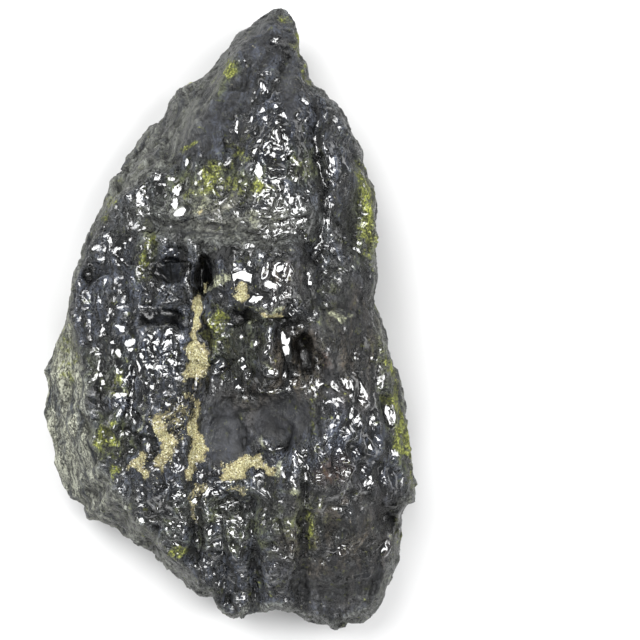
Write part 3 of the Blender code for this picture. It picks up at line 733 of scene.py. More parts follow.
def finish_masks(points, flat, steep):
    """A 0 to 1 value at each vertex for every finish of the stone: its ovals on the upper face,
    and patches of noise below. The flats are all wet, and steep and black places shed water."""
    plan = wandered(points[:, :2])
    torn = frayed(plan)
    above = upper_share(points)
    below = 1 - above
    skin, dryness = dry_skin(points[:, :2])
    saddle = lump(plan, *SADDLE_ZONE)
    wet_below = noise_patches(points, *BELOW_WET_PATCHES, SEED + 300)
    wet_below = wet_below * BELOW_WET_MORE + BELOW_WET_LEAST
    weathered = WEATHERED * noise_patches(points, *BELOW_WEATHER_PATCHES, SEED + 310) * below
    dull = strongest(plan, SMOOTH_ZONES)
    lime = strongest(torn, LIME_PATCHES)
    black = strongest((plan + torn) / 2, BLACK_AND_PAINTED_SHADE_ZONES)
    wet = strongest(plan, WET_ZONES) * (1 - SHED_BY_LIME * lime)
    wet = np.maximum(wet, DAMP * (1 - skin))
    wet *= 1 - SHED_BY_BLACK * smooth_step((black - BLACK_FROM) / BLACK_OVER)
    wet *= 1 - SHED_BY_STEEP * steep
    wet = wet * (1 - SHED_BY_DULL * dull) * above + wet_below * below
    dry = np.maximum(dryness * skin, DRY_SADDLE * saddle) * above
    return {
        "flat": flat,
        "sand": strongest(torn, SAND_PATCHES) * above,
        "lime": np.maximum(lime * above, weathered),
        "wet": np.maximum(wet, flat),
        "dull": dull * above,
        "across": saddle * above,
        "warm": strongest(plan, WARM_ZONES) * above,
        "olive": np.maximum(strongest(plan, OLIVE_ZONES) * above, WEATHERED_OLIVE * weathered),
        "black": black * above,
        "pale": strongest(torn, PALE_SPOTS) * above,
        "rust": strongest(plan, RUST_SPOTS) * above,
        "dry": np.maximum(dry, np.maximum(dryness, DRY_BELOW) * below),
    }


print("stations of the dry skin:", len(DRY_STATIONS))

# %% [markdown]
# Fine relief
# Between one and five millimetres the broken face is all chips, fibres and soft water-worn dimples.
# Fibres run along the stone and are drawn out noise. In the saddle they lie across it. Dimples are
# noise whose place is bent by other noise, which gives the curled edges that catch the light. Each
# is strong only where its finish lies, and this relief is real shape, so it shows in the outline.

# %% Fine relief
CHIP_LAYERS = ((4.2, 0.20), (2.3, 0.18))  # size and steepness of the chips
DIMPLE_LAYERS = ((3.4, 0.27), (1.7, 0.26), (1.0, 0.17))  # size and height of the dimples
DIMPLE_BEND = 0.55  # how far the bending noise moves a place, in sizes of the dimples
BEND_SIZE = 1.7  # the size of the bending noise, in sizes of the dimples
FIBRE_LAYERS = ((2.2, 0.32), (1.2, 0.16))  # width and height of the fibres
FIBRE_STRETCH = 5.0  # how many times longer than wide a fibre is
FIBRE_DEPTH = 2.5  # and how many times deeper
FIBRE_SWAY, SWAY_SIZE = 0.8, 9.0  # how far noise bends the fibres, and the size of that noise
LEAST_WETNESS = 0.25  # the share of the dimples that a dry place has
LEAST_DRYNESS = 0.3  # the share of the fibres that a wet place has
# the share of the relief that each finish takes away
CALM_BY_DULL, CALM_BY_BLACK, CALM_BY_FLAT = 0.75, 0.5, 0.85
CHIPS_LOST_DRY, CHIPS_LOST_SLANT, DIMPLES_LOST_SLANT = 0.55, 0.6, 0.85
# places where the relief runs slantwise, and the angle of its run
SLANT_ZONES = {
    "panel": ((43.5, -36.0), (12.5, 21.0), 10, 1.0),
    "scoop_rim": ((25.5, -47.0), (6.5, 10.5), 32, 1.0),
}
SLANT_ANGLE = math.radians(-58)
SLANT_LAYERS = ((2.2, 0.40), (1.2, 0.20))  # width and height of the slanting fibres


def dimples(points, size, seed):
    """Smooth noise read at places that other noise has bent."""
    bend = [smooth_noise(points, size * BEND_SIZE, seed + n) for n in (1, 2, 3)]
    bend = np.stack(bend, axis=1)
    return smooth_noise(points + DIMPLE_BEND * size * bend, size, seed)


def fibres(points, sway, lengthwise, size, seed):
    """Noise drawn out along one axis (0 is X, 1 is Y) and swayed by other noise."""
    squeeze = np.ones(3)
    squeeze[lengthwise] = 1 / FIBRE_STRETCH
    squeeze[2] = 1 / FIBRE_DEPTH
    return smooth_noise(points * squeeze + FIBRE_SWAY * sway[:, None], size, seed)


def turned_about(points, angle):
    """The points turned about Z, so that a slanting run lies along X."""
    turn = np.array(((math.cos(angle), math.sin(angle)), (-math.sin(angle), math.cos(angle))))
    return np.column_stack([points[:, :2] @ turn.T, points[:, 2]])


def fine_relief(points, masks):
    """Chips everywhere, dimples where it is wet, fibres where it is dry, and slanting fibres in
    the slant zones, in millimetres."""
    wet, dry = masks["wet"], masks["dry"]
    quiet = masks["black"] * (1 - wet)
    level = 1 - CALM_BY_FLAT * masks["flat"]
    calm = (1 - CALM_BY_DULL * masks["dull"]) * (1 - CALM_BY_BLACK * quiet) * level
    slant = strongest(points[:, :2], SLANT_ZONES)
    relief = np.zeros(len(points))
    for layer, (size, slope) in enumerate(CHIP_LAYERS):
        chips = slope * facet_noise(points, size, SEED + 200 + layer)
        relief += calm * (1 - CHIPS_LOST_DRY * dry) * (1 - CHIPS_LOST_SLANT * slant) * chips
    wetness = LEAST_WETNESS + (1 - LEAST_WETNESS) * wet
    for layer, (size, height) in enumerate(DIMPLE_LAYERS):
        bumps = dimples(points, size, SEED + 220 + 10 * layer)
        relief += height * wetness * calm * (1 - DIMPLES_LOST_SLANT * slant) * bumps
    sway = smooth_noise(points, SWAY_SIZE, SEED + 260)
    saddle = lump(points[:, :2], *SADDLE_ZONE)
    dryness = LEAST_DRYNESS + (1 - LEAST_DRYNESS) * dry
    for layer, (size, height) in enumerate(FIBRE_LAYERS):
        along = fibres(points, sway, 1, size, SEED + 240 + layer) * dryness
        across = fibres(points, sway, 0, size, SEED + 250 + layer)
        relief += height * level * (along * (1 - saddle) + across * saddle)
    run = turned_about(points, SLANT_ANGLE)
    for layer, (size, height) in enumerate(SLANT_LAYERS):
        relief += height * level * slant * fibres(run, sway, 0, size, SEED + 270 + layer)
    return relief


print("thinnest fibre:", FIBRE_LAYERS[-1][0], "mm")

# %% [markdown]
# Cuts and flats
# The broken face also has a few marks of its own: deep square-edged pits beside the main groove,
# a crack between the scoops, and small flats that flash when a lamp stands over them. Each is a
# named mound, trough or tilted plane, laid over the rough form before the fine relief. Two sets of
# flats repeat: the dots of light below the knob, and the ledges in which the right panel falls.

# %% Cuts and cracks
# middle, half sizes, turn, height and bluntness
CUTS = {
    "pit_upper": ((-17.5, 15.4), (7.8, 3.4), 0, -2.8, 4.0),
    "pit_lower": ((-18.3, 0.9), (7.6, 2.8), -4, -2.6, 4.0),
    "cleft": ((-4.6, 15.5), (3.2, 6.5), -10, -3.0, 3.5),
    "hollow_fill": ((23.5, -7.0), (4.2, 5.5), 20, 2.6, 3.0),
    "hollow_east": ((27.0, -12.5), (3.8, 6.5), 35, -2.0, 3.5),
    "scoop_west": ((2.6, -36.5), (5.2, 8.0), 0, 1.8, 2.5),
    "hollow_south": ((14.6, -22.2), (7.0, 2.2), 0, 2.8, 2.5),
    "knob": ((15.6, -7.5), (3.4, 6.5), 14, 1.2, 3.0),
    "boss_under": ((4.0, 1.0), (5.0, 2.2), 20, -2.5, 3.0),
    "rib_shadow": ((2.0, -57.5), (5.5, 2.5), 0, -1.8, 3.0),
}
# the points of the line, half width and depth
CRACKS = {
    "scoop_crack": (((4.3, -31.0), (5.0, -35.0), (7.6, -39.5), (10.6, -44.7)), 0.6, 1.0),
    "scoop_seam": (((10.6, -44.7), (15.5, -41.0), (20.0, -37.8)), 0.6, 1.0),
    "groove_wall": (((-4.2, 8.0), (-5.4, 0.0), (-5.2, -9.0), (-6.6, -20.0)), 1.1, 2.0),
    "panel_edge": (((29.5, -12.0), (28.8, -26.0), (29.5, -38.0)), 1.0, 1.2),
    "saddle_line": (((-14.0, 26.5), (-2.0, 29.0), (9.0, 27.5), (21.0, 30.5)), 0.8, 0.9),
    "spine_line": (((6.0, 92.0), (7.5, 78.0), (5.5, 66.0)), 0.7, 0.7),
}


def cut_down(points):
    """How far the cuts and cracks lower each point, in millimetres."""
    plan = wandered(points[:, :2])
    plan = (plan + frayed(plan)) / 2
    total = sum(lump(plan, *cut) for cut in CUTS.values())
    return total + sum(groove(plan, *crack) for crack in CRACKS.values())


print("cuts:", len(CUTS), "cracks:", len(CRACKS))

# %% Flats
LEFT, RIGHT = 128, 10  # the compass angles of the two main lamps, which the flats lean towards
# middle, half sizes and turn of each flat, and the compass angle that it leans towards
FLATS = {
    "spine_star": ((11.2, 44.4), (2.0, 3.2), 0, LEFT),
    "above_pit": ((-15.1, 20.4), (3.8, 1.9), 0, LEFT),
    "block_fork": ((-28.7, -7.0), (3.4, 4.0), -15, LEFT),
    "block_arm": ((-32.0, -2.8), (3.6, 1.4), -35, LEFT),
    "block_tail": ((-25.8, -15.0), (1.6, 5.0), 20, LEFT),
    "boss_top": ((6.2, 13.0), (3.6, 2.8), 0, LEFT),
    "boss_lip": ((10.4, 6.2), (5.0, 2.0), 22, LEFT),
    "boss_north": ((17.9, 15.5), (2.8, 2.6), 0, RIGHT),
    "boss_east": ((13.2, 14.2), (1.6, 3.4), -15, RIGHT),
    "boss_tail": ((21.2, 2.8), (1.6, 3.4), 15, RIGHT),
    "boss_mid": ((14.2, 10.4), (2.7, 1.9), 30, LEFT),
    "knob_side": ((19.2, -7.4), (2.5, 6.2), 21, RIGHT),
    "north_fan": ((-11.2, 48.2), (1.7, 2.6), 0, LEFT),
    "saddle_edge": ((-13.4, 32.9), (4.4, 2.2), 20, LEFT),
    "far_left": ((-37.4, 12.0), (2.0, 2.0), 0, LEFT),
    "groove_side": ((5.9, -13.7), (2.2, 1.5), -25, RIGHT),
    "panel_foot": ((52.3, -49.4), (1.5, 3.6), 20, RIGHT),
    "panel_mid": ((45.0, -38.5), (1.5, 4.4), 30, RIGHT),
    "rib_flat": ((-4.5, -66.0), (1.6, 3.4), -20, LEFT),
    "tail_flat": ((50.0, -72.5), (2.4, 2.6), 0, RIGHT),
    "tail_west": ((37.0, -73.0), (1.8, 1.1), 0, RIGHT),
    "tail_low": ((43.5, -81.0), (2.6, 0.9), 10, RIGHT),
    "rib_east": ((21.0, -71.5), (1.2, 3.2), 0, RIGHT),
    "mid_low": ((3.0, -72.0), (1.3, 3.4), 15, LEFT),
    "low_west": ((-9.0, -57.0), (2.6, 1.1), -20, LEFT),
    "tip": ((15.2, 87.3), (1.6, 1.4), 30, RIGHT),
    "spine_high": ((12.4, 71.5), (1.4, 3.6), 25, RIGHT),
    "spine_fan": ((8.9, 61.5), (1.3, 1.6), 0, LEFT),
    "spine_line": ((4.2, 59.0), (0.8, 5.0), 5, LEFT),
    "scoop_tip": ((24.0, -43.0), (1.1, 4.0), 32, RIGHT),
}
FLAT_LEAN = math.radians(13)
FLAT_BLUNTNESS = 5.0
# small flats in the black ground south of the knob, as dots of light
DOTS = (
    (5.9, -14.2), (10.0, -7.3), (14.0, -15.4), (16.2, -15.7), (21.8, -18.9), (29.9, -19.2),
    (4.0, -19.5), (11.2, -21.0), (14.3, -22.0), (16.8, -21.7), (7.8, -17.0), (19.0, -17.0),
)
DOT_HALVES = (1.8, 1.2)
DOT_TURN = 40  # degrees from one dot to the next
# the right panel's ledges, which keep their relief, so that it breaks their light into strokes
LEDGE_START = (38.5, -22.5)
LEDGE_STEPS = ((5.3, 0.6), (1.9, -9.2))  # to the next ledge across, and to the next down
LEDGE_COLUMNS, LEDGE_ROWS = 3, 4
LEDGE_HALVES = (2.5, 5.6)
LEDGE_TURN, LEDGE_SWING = 20, 10  # the mean turn in degrees, and the most that a ledge differs
LEDGE_SHIFTS = (0.72, 2.4)  # the most that a ledge is shifted across and down
LEDGE_GROWTH = 0.25  # the share by which it may be longer or shorter
# rate and start of the four sines that shift it across and down, draw it out and turn it
LEDGE_WAVES = ((5.1, 0), (3.7, 1), (4.3, 0), (1.9, 2))


def panel_ledges():
    """Ledges in columns and rows, each shifted, drawn out and turned by sines of its number."""
    across, down = np.array(LEDGE_STEPS)
    wide, long = LEDGE_HALVES
    ledges = {}
    for number in range(LEDGE_ROWS * LEDGE_COLUMNS):
        row, column = divmod(number, LEDGE_COLUMNS)
        waves = [math.sin(rate * number + start) for rate, start in LEDGE_WAVES]
        shift = np.array(LEDGE_SHIFTS) * waves[:2]
        centre = np.array(LEDGE_START) + column * across + row * down + shift
        halves = (wide, long * (1 + LEDGE_GROWTH * waves[2]))
        turn = LEDGE_TURN + LEDGE_SWING * waves[3]
        ledges[f"ledge_{number}"] = (tuple(centre), halves, turn, RIGHT)
    return ledges


def dot_flats():
    """The dots, turned one after another and leaning by turns to the right and to the left."""
    return {f"dot_{number}": (centre, DOT_HALVES, DOT_TURN * number, (RIGHT, LEFT)[number % 2])
            for number, centre in enumerate(DOTS)}


def flattened(points, above, flats):
    """The points with each flat's own drawn onto a plane through their mean height, and the
    strongest flat at each point. The plane falls towards the compass angle that it leans to."""
    flat = np.zeros(len(points))
    height = points[:, 2].copy()
    for centre, half_sizes, turn, towards in flats.values():
        share = lump(points[:, :2], centre, half_sizes, turn, 1.0, FLAT_BLUNTNESS) * above
        lean = np.array((math.cos(math.radians(towards)), math.sin(math.radians(towards))))
        fall = math.tan(FLAT_LEAN) * ((points[:, :2] - centre) @ lean)
        level = (share * (height + fall)).sum() / share.sum()
        height += share * (level - fall - height)
        flat = np.maximum(flat, share)
    return np.column_stack([points[:, :2], height]), flat


print("flats:", len(FLATS), "dots:", len(DOTS), "ledges:", len(panel_ledges()))

# %% [markdown]
# An even mesh
# A grid laid round the stone bunches up at its poles and stretches on steep walls, so the big form is
# meshed that way only once. A voxel remesh then lays even quads over it, and the fine relief moves
# those along their own normals. At the end Decimate takes faces away where the stone is plain.

# %% Mesh helpers
def grid_faces(rows, columns):
    """Quads between the rows, and a fan of triangles round each pole."""
    index = np.arange(rows * columns).reshape(rows, columns)
    right = np.roll(index, -1, axis=1)
    quads = np.stack([index[:-1], index[1:], right[1:], right[:-1]], axis=-1).reshape(-1, 4)
    top, bottom = index.size, index.size + 1
    cap = np.stack([np.full(columns, top), index[0], right[0]], axis=-1)
    base = np.stack([np.full(columns, bottom), right[-1], index[-1]], axis=-1)
    return quads, np.vstack([cap, base])


def fitted(points, low, high):
    """The points brought into the box from low to high, in metres, lying flat on its floor."""
    points = np.column_stack([points[:, :2], np.maximum(points[:, 2], 0.0)])
    least = points.min(axis=0)
    size = points.max(axis=0) - least
    return np.array(low) + (points - least) / size * (np.array(high) - np.array(low))


def mesh_from(name, points, quads, triangles):
    """A smooth-shaded mesh from point, quad and triangle arrays, filled without a Python loop."""
    mesh = bpy.data.meshes.new(name)
    corners = np.concatenate([quads.ravel(), triangles.ravel()])
    sizes = np.concatenate([np.full(len(quads), 4), np.full(len(triangles), 3)])
    mesh.vertices.add(len(points))
    mesh.vertices.foreach_set("co", points.astype(np.float32).ravel())
    mesh.loops.add(len(corners))
    mesh.loops.foreach_set("vertex_index", corners.astype(np.int32))
    mesh.polygons.add(len(sizes))
    starts = np.concatenate([[0], np.cumsum(sizes)[:-1]])
    mesh.polygons.foreach_set("loop_start", starts.astype(np.int32))
    mesh.update(calc_edges=True)
    mesh.validate()
    mesh.shade_smooth()
    return mesh


def modified(obj, kind, **settings):
    """Gives the object one modifier, keeps what it makes as the mesh, and takes it off again."""
    modifier = obj.modifiers.new(kind.title(), kind)
    for name, value in settings.items():
        setattr(modifier, name, value)
    graph = bpy.context.evaluated_depsgraph_get()
    made = obj.evaluated_get(graph)
    mesh = bpy.data.meshes.new_from_object(made, preserve_all_data_layers=True, depsgraph=graph)
    obj.modifiers.clear()
    obj.data = mesh
    mesh.name = obj.name


def read_array(collection, name, width, kind=np.float32):
    """A column of Blender data as a numpy array."""
    flat = np.empty(len(collection) * width, kind)
    collection.foreach_get(name, flat)
    return flat.reshape(-1, width)


def read_points(mesh):
    """The mesh's vertices in metres."""
    return read_array(mesh.vertices, "co", 3).astype(float)


def write_points(mesh, points):
    """Moves the mesh's vertices to the points, in metres."""
    mesh.vertices.foreach_set("co", points.astype(np.float32).ravel())
    mesh.update()


def store_mask(mesh, name, values):
    """Keeps one number a vertex on the mesh under a name, for the material to read."""
    layer = mesh.attributes.new(name, "FLOAT", "POINT")
    layer.data.foreach_set("value", values.astype(np.float32))


def in_scene(name, data):
    """A new object in the scene, with the mesh, lamp or camera as its data."""
    obj = bpy.data.objects.new(name, data)
    bpy.context.scene.collection.objects.link(obj)
    return obj


def evened(points, edges, rounds):
    """The points, each drawn halfway to the mean of its neighbours, that many times."""
    first, second = edges.T
    count = len(points)
    share = 0.5 / np.bincount(edges.ravel(), minlength=count)
    for _ in range(rounds):
        drawn = np.empty_like(points)
        for axis in (0, 1, 2):
            column = points[:, axis]
            total = np.bincount(first, column[second], count)
            total = total + np.bincount(second, column[first], count)
            drawn[:, axis] = column / 2 + share * total
        points = drawn
    return points


print("quads of a grid of 3 by 4:", len(grid_faces(3, 4)[0]))

# %% The big form and its hollows
ROUND_STEPS, DOWN_STEPS = 640, 260
TOP_ROWS, SIDE_ROWS = 0.70, 0.16  # the shares of the rows that the upper face and the side get
EVEN_EDGE = 0.56 * MM
HOLLOW_SPREADS = (0.6, 1.2, 2.4, 4.0)  # in millimetres
HOLLOW_DEPTH = 0.42  # in millimetres: a dip as deep as this below its surroundings gets the full painted shade


def big_form():
    """The vertices of the roughened form in millimetres, row by row, with one at each pole."""
    rows = (np.arange(DOWN_STEPS) + 0.5) / DOWN_STEPS
    knots = (0.0, TOP_ROWS, TOP_ROWS + SIDE_ROWS, 1.0)
    share_down = np.interp(rows, knots, (0.0, RIM_SHARE, FOOT_SHARE, 1.0))
    share_round = np.arange(ROUND_STEPS) / ROUND_STEPS
    down, around = (a.ravel() for a in np.meshgrid(share_down, share_round, indexing="ij"))
    points, facing = wrapped(around, down)
    points = points + facing * roughness(points, down)[:, None]
    poles = points.reshape(DOWN_STEPS, ROUND_STEPS, 3)[[0, -1]].mean(axis=1)
    return np.vstack([points, poles])


def hollowness(points, normals, edges):
    """How far each point lies below its evened-out surroundings: the mean over a few spreads,
    each divided by the square root of its spread. Evening a mesh n times spreads it by half the
    square root of n, in edges."""
    deep = np.zeros(len(points))
    even, done = points, 0
    for spread_mm in HOLLOW_SPREADS:
        rounds = round((2 * spread_mm * MM / EVEN_EDGE) ** 2)
        even = evened(even, edges, rounds - done)
        done = rounds
        deep += ((even - points) * normals).sum(axis=1) / math.sqrt(spread_mm)
    return deep / len(HOLLOW_SPREADS) / HOLLOW_DEPTH


print("steps round and down:", ROUND_STEPS, DOWN_STEPS)

# %% The even mesh
quads, fans = grid_faces(DOWN_STEPS, ROUND_STEPS)
form = fitted(big_form(), stone_low, stone_high)
stone = in_scene("jade_surface", mesh_from("jade_surface", form, quads, fans))
modified(stone, "REMESH", mode="VOXEL", voxel_size=EVEN_EDGE, use_smooth_shade=True)
points = read_points(stone.data) / MM
edges = read_array(stone.data.edges, "vertices", 2, np.int32)
print("even mesh:", len(stone.data.polygons), "quads")

# %% Cuts, flats and ledges on the mesh
above = upper_share(points)
points[:, 2] += cut_down(points) * above
points = flattened(points, above, panel_ledges())[0]
points, flat = flattened(points, above, FLATS | dot_flats())
write_points(stone.data, points * MM)
normals = read_array(stone.data.vertex_normals, "vector", 3).astype(float)
print("share of the vertices on flats:", round(float((flat > 0.5).mean()), 3))

# %% Masks and fine relief on the mesh
STEEP_FROM = math.cos(math.radians(43))  # a face as steep as this begins to shed its water
STEEP_FULL = math.cos(math.radians(56))  # and as steep as this it has shed it
BELOW_RELIEF = 0.3  # the share of the fine relief that the underside has
# the relief is weakest where a normal's z is -0.7 or less, and full where it is 0.4 more than that
BELOW_FROM, BELOW_OVER = 0.7, 0.4
steep = smooth_step((STEEP_FROM - normals[:, 2]) / (STEEP_FROM - STEEP_FULL))
finish = finish_masks(points, flat, steep)
upward = smooth_step((normals[:, 2] + BELOW_FROM) / BELOW_OVER)
seen = BELOW_RELIEF + (1 - BELOW_RELIEF) * upward
points += normals * (seen * fine_relief(points, finish))[:, None]
deep = hollowness(points, normals, edges)
# the hollow mask darkens the colour in dips as painted shade; the crest mask lightens the crests
finish["hollow"] = np.clip(deep, 0, 1)
finish["crest"] = np.clip(-deep, 0, 1)
write_points(stone.data, fitted(points, stone_low, stone_high))
for name, values in finish.items():
    store_mask(stone.data, name, values)
print("masks:", *finish)

# %% Fewer faces where the stone is plain
STONE_TRIANGLES = 196000
modified(stone, "DECIMATE", ratio=min(1.0, STONE_TRIANGLES / (2 * len(stone.data.polygons))))
write_points(stone.data, fitted(read_points(stone.data), stone_low, stone_high))
stone.data.shade_smooth()
print("stone:", len(stone.data.vertices), "points,", len(stone.data.polygons), "faces")

# %% [markdown]
# Sand as real grains
# The sand in the grooves could be a bump, but grains stand out of the surface and cast tiny shadows,
# so they are real. Places are drawn on the stone's own triangles, each triangle as likely as its
# area times its sand. Every grain is one icosahedron, squashed and turned at random.

# %% Where the grains lie
GRAINS = 9400
SAND_GROWTH = 5.0  # how strongly grains keep to the middle of a patch
LEAST_AREA = 1e-12  # keeps the division sound on a triangle without area


def places_on(mesh, mask, count, dice):
    """Random points on a triangle mesh, with their normals, as dense as the mask is strong."""
    mesh.calc_loop_triangles()
    triangles = read_array(mesh.loop_triangles, "vertices", 3, np.int32)
    strength = read_array(mesh.attributes[mask].data, "value", 1)[:, 0]
    a, b, c = read_points(mesh)[triangles.T]
    normal = np.cross(b - a, c - a)
    area = np.linalg.norm(normal, axis=1)
    weight = area * strength[triangles].mean(axis=1) ** SAND_GROWTH
    chosen = dice.choice(len(triangles), size=count, p=weight / weight.sum())
    u, v = dice.random(count), dice.random(count)
    over = u + v > 1
    u, v = np.where(over, 1 - u, u)[:, None], np.where(over, 1 - v, v)[:, None]
    place = a[chosen] + u * (b - a)[chosen] + v * (c - a)[chosen]
    return place, normal[chosen] / np.maximum(area[chosen], LEAST_AREA)[:, None]


print("sand on the stone's mesh:", "sand" in stone.data.attributes)

# %% Grains of sand
GRAIN_RADIUS = (0.12 * MM, 0.29 * MM)
GRAIN_SINK = 0.25  # the share of its radius that a grain is sunk into the stone
GRAIN_SQUASH = (0.65, 0.6)  # the least half size of a grain in radii, and how much more it may be
CORNERS, FACES = 12, 20  # of an icosahedron


def icosahedron():
    """The unit corners and the faces of an icosahedron, from Blender's own primitive."""
    bpy.ops.mesh.primitive_ico_sphere_add(subdivisions=1, radius=1.0)
    solid = bpy.context.object
    mesh = solid.data
    corners = np.array([corner.co[:] for corner in mesh.vertices])
    faces = np.array([face.vertices[:] for face in mesh.polygons])
    bpy.data.objects.remove(solid)
    bpy.data.meshes.remove(mesh)
    return corners, faces


def turned(dice, count):
    """Random rotation matrices, from unit quaternions."""
    q = dice.normal(size=(count, 4))
    w, x, y, z = (q / np.linalg.norm(q, axis=1, keepdims=True)).T
    return np.stack([
        1 - 2 * (y * y + z * z), 2 * (x * y - z * w), 2 * (x * z + y * w),
        2 * (x * y + z * w), 1 - 2 * (x * x + z * z), 2 * (y * z - x * w),
        2 * (x * z - y * w), 2 * (y * z + x * w), 1 - 2 * (x * x + y * y),
    ], axis=1).reshape(count, 3, 3)


def sand_grains(host):
    """One mesh of all the grains, with a tone for each."""
    dice = np.random.RandomState(SEED)
    count = GRAINS
    place, normal = places_on(host.data, "sand", count, dice)
    small, big = GRAIN_RADIUS
    radius = small + (big - small) * dice.random_sample(count) ** 2
    place = place - normal * (GRAIN_SINK * radius)[:, None]
    corners, faces = icosahedron()
    least, more = GRAIN_SQUASH
    squash = least + more * dice.random_sample((count, 1, 3))
    shape = np.einsum("nij,nkj->nki", turned(dice, count), corners[None] * squash)
    points = (place[:, None] + radius[:, None, None] * shape).reshape(-1, 3)
    triangles = (faces[None] + CORNERS * np.arange(count)[:, None, None]).reshape(-1, 3)
    mesh = mesh_from("sand_residue", points, np.empty((0, 4), int), triangles)
    store_mask(mesh, "tone", np.repeat(dice.random_sample(count), CORNERS))
    mesh.shade_flat()
    return mesh


grains = in_scene("sand_residue", sand_grains(stone))
print("sand:", len(grains.data.polygons) // FACES, "grains")

# %% [markdown]
# Shared effects as node groups
# A few effects turn up in more than one finish: patches with broken edges, fibrous streaks, gritty
# grain and the curled ripples of a wet skin. Each is a node group with named inputs, built once and
# used with other values. A group only works out masks and heights. The shader itself stays in the
# material, so that its gloss can be read on its own.

# %% Helpers for node groups
def node_group(name, inputs, outputs):
    """A new shader node group, with its input and output nodes."""
    group = bpy.data.node_groups.new(name, "ShaderNodeTree")
    for label, kind, value in inputs:
        socket = group.interface.new_socket(label, in_out="INPUT", socket_type=kind)
        if value is not None:
            socket.default_value = value
    for label, kind in outputs:
        group.interface.new_socket(label, in_out="OUTPUT", socket_type=kind)
    return group, group.nodes.new("NodeGroupInput"), group.nodes.new("NodeGroupOutput")


def new_material(name):
    """A new material, with its tree and its one Principled shader."""
    material = bpy.data.materials.new(name)
    material.use_nodes = True
    return material, material.node_tree, material.node_tree.nodes["Principled BSDF"]


def feed(tree, socket, value):
    """Links the value to the socket if it is a socket itself, and otherwise sets it there."""
    if isinstance(value, bpy.types.NodeSocket):
        tree.links.new(value, socket)
    else:
        socket.default_value = value


def add(tree, kind, settings=(), **values):
    """A new node with its settings and input values. Scale=2 is for the input Scale, From_Min=2
    for From Min, and _0=2 for the first input."""
    node = tree.nodes.new(kind)
    for key, value in dict(settings).items():
        setattr(node, key, value)
    for key, value in values.items():
        feed(tree, node.inputs[int(key[1:]) if key[1:].isdigit() else key.replace("_", " ")], value)
    return node


def placed(tree, group, **values):
    """The outputs of a node group that is placed in the tree with its own input values."""
    return add(tree, "ShaderNodeGroup", {"node_tree": group}, **values).outputs


def calc(tree, operation, *values):
    """The result of a Math node on up to three numbers or sockets."""
    node = add(tree, "ShaderNodeMath", {"operation": operation})
    for socket, value in zip(node.inputs, values):
        feed(tree, socket, value)
    return node.outputs[0]


def times(tree, first, second):
    """The product of two numbers or sockets."""
    return calc(tree, "MULTIPLY", first, second)


def without(tree, mask, share):
    """One less a share of the mask."""
    return calc(tree, "SUBTRACT", 1.0, times(tree, mask, share))


def spread(tree, value, low, high, to_low=0.0, to_high=1.0):
    """value carried from low..high to to_low..to_high with soft ends."""
    return add(tree, "ShaderNodeMapRange", {"interpolation_type": "SMOOTHSTEP"}, Value=value,
               From_Min=low, From_Max=high, To_Min=to_low, To_Max=to_high).outputs["Result"]


def fade(tree, mask, at_none, at_full):
    """A number that goes softly from its value where the mask is 0 to its value where it is 1."""
    return spread(tree, mask, 0.0, 1.0, at_none, at_full)


def blend(tree, share, first, second):
    """A colour mix; share, first and second are values or sockets."""
    mix = add(tree, "ShaderNodeMix", {"data_type": "RGBA"}, _0=share, _6=first, _7=second)
    return mix.outputs[2]


def blend_value(tree, share, first, second):
    """A number mix; share, first and second are values or sockets."""
    mix = add(tree, "ShaderNodeMix", {"data_type": "FLOAT"}, _0=share, _2=first, _3=second)
    return mix.outputs[0]


def noise_of(tree, place, scale, detail=3.0, rough=0.5, distort=0.0):
    """The value of a noise texture; scale is in features a metre."""
    return add(tree, "ShaderNodeTexNoise", Vector=place, Scale=scale, Detail=detail,
               Roughness=rough, Distortion=distort).outputs[0]


def place_node(tree):
    """Object coordinates, which keep every pattern fixed to the stone."""
    return tree.nodes.new("ShaderNodeTexCoord").outputs["Object"]


def vector_math(tree, operation, first, second):
    """The result of a Vector Math node; SCALE takes a number as the second."""
    key = "Scale" if operation == "SCALE" else "_1"
    node = add(tree, "ShaderNodeVectorMath", {"operation": operation}, _0=first, **{key: second})
    return node.outputs[0]


print("node groups so far:", len(bpy.data.node_groups))

# %% Broken patches
def make_broken_patch():
    """Mask: a soft area whose edge is broken up by noise and whose body is mottled."""
    group, given, out = node_group(
        "broken_patch",
        (("Vector", "NodeSocketVector", None), ("Area", "NodeSocketFloat", 0.0),
         ("Scale", "NodeSocketFloat", 300.0), ("Breakup", "NodeSocketFloat", 0.8),
         ("Softness", "NodeSocketFloat", 0.12)),
        (("Mask", "NodeSocketFloat"),),
    )
    coarse = noise_of(group, given.outputs["Vector"], given.outputs["Scale"],
                      detail=6.0, rough=0.62, distort=0.6)
    swing = times(group, calc(group, "SUBTRACT", coarse, 0.5), given.outputs["Breakup"])
    area = calc(group, "ADD", given.outputs["Area"], swing)
    low = calc(group, "SUBTRACT", 0.5, given.outputs["Softness"])
    high = calc(group, "ADD", 0.5, given.outputs["Softness"])
    group.links.new(spread(group, area, low, high), out.inputs["Mask"])
    return group


broken_patch = make_broken_patch()
print(broken_patch.name, [s.name for s in broken_patch.interface.items_tree])

# %% Fibrous streaks
THREAD_WIDTH = 0.035  # how far the noise may be from its middle value within a thread
STREAK_BENDS = 70.0  # features a metre of the noise that bends the streaks


def centred_noise(tree, place, scale, detail=2.0):
    """A random vector around nought at each place, for bending patterns."""
    cloud = add(tree, "ShaderNodeTexNoise", Vector=place, Scale=scale, Detail=detail)
    return vector_math(tree, "SUBTRACT", cloud.outputs["Color"], (0.5, 0.5, 0.5))


def bent(tree, place, bend, amount):
    """The place moved by a bend vector times an amount."""
    return vector_math(tree, "ADD", place, vector_math(tree, "SCALE", bend, amount))


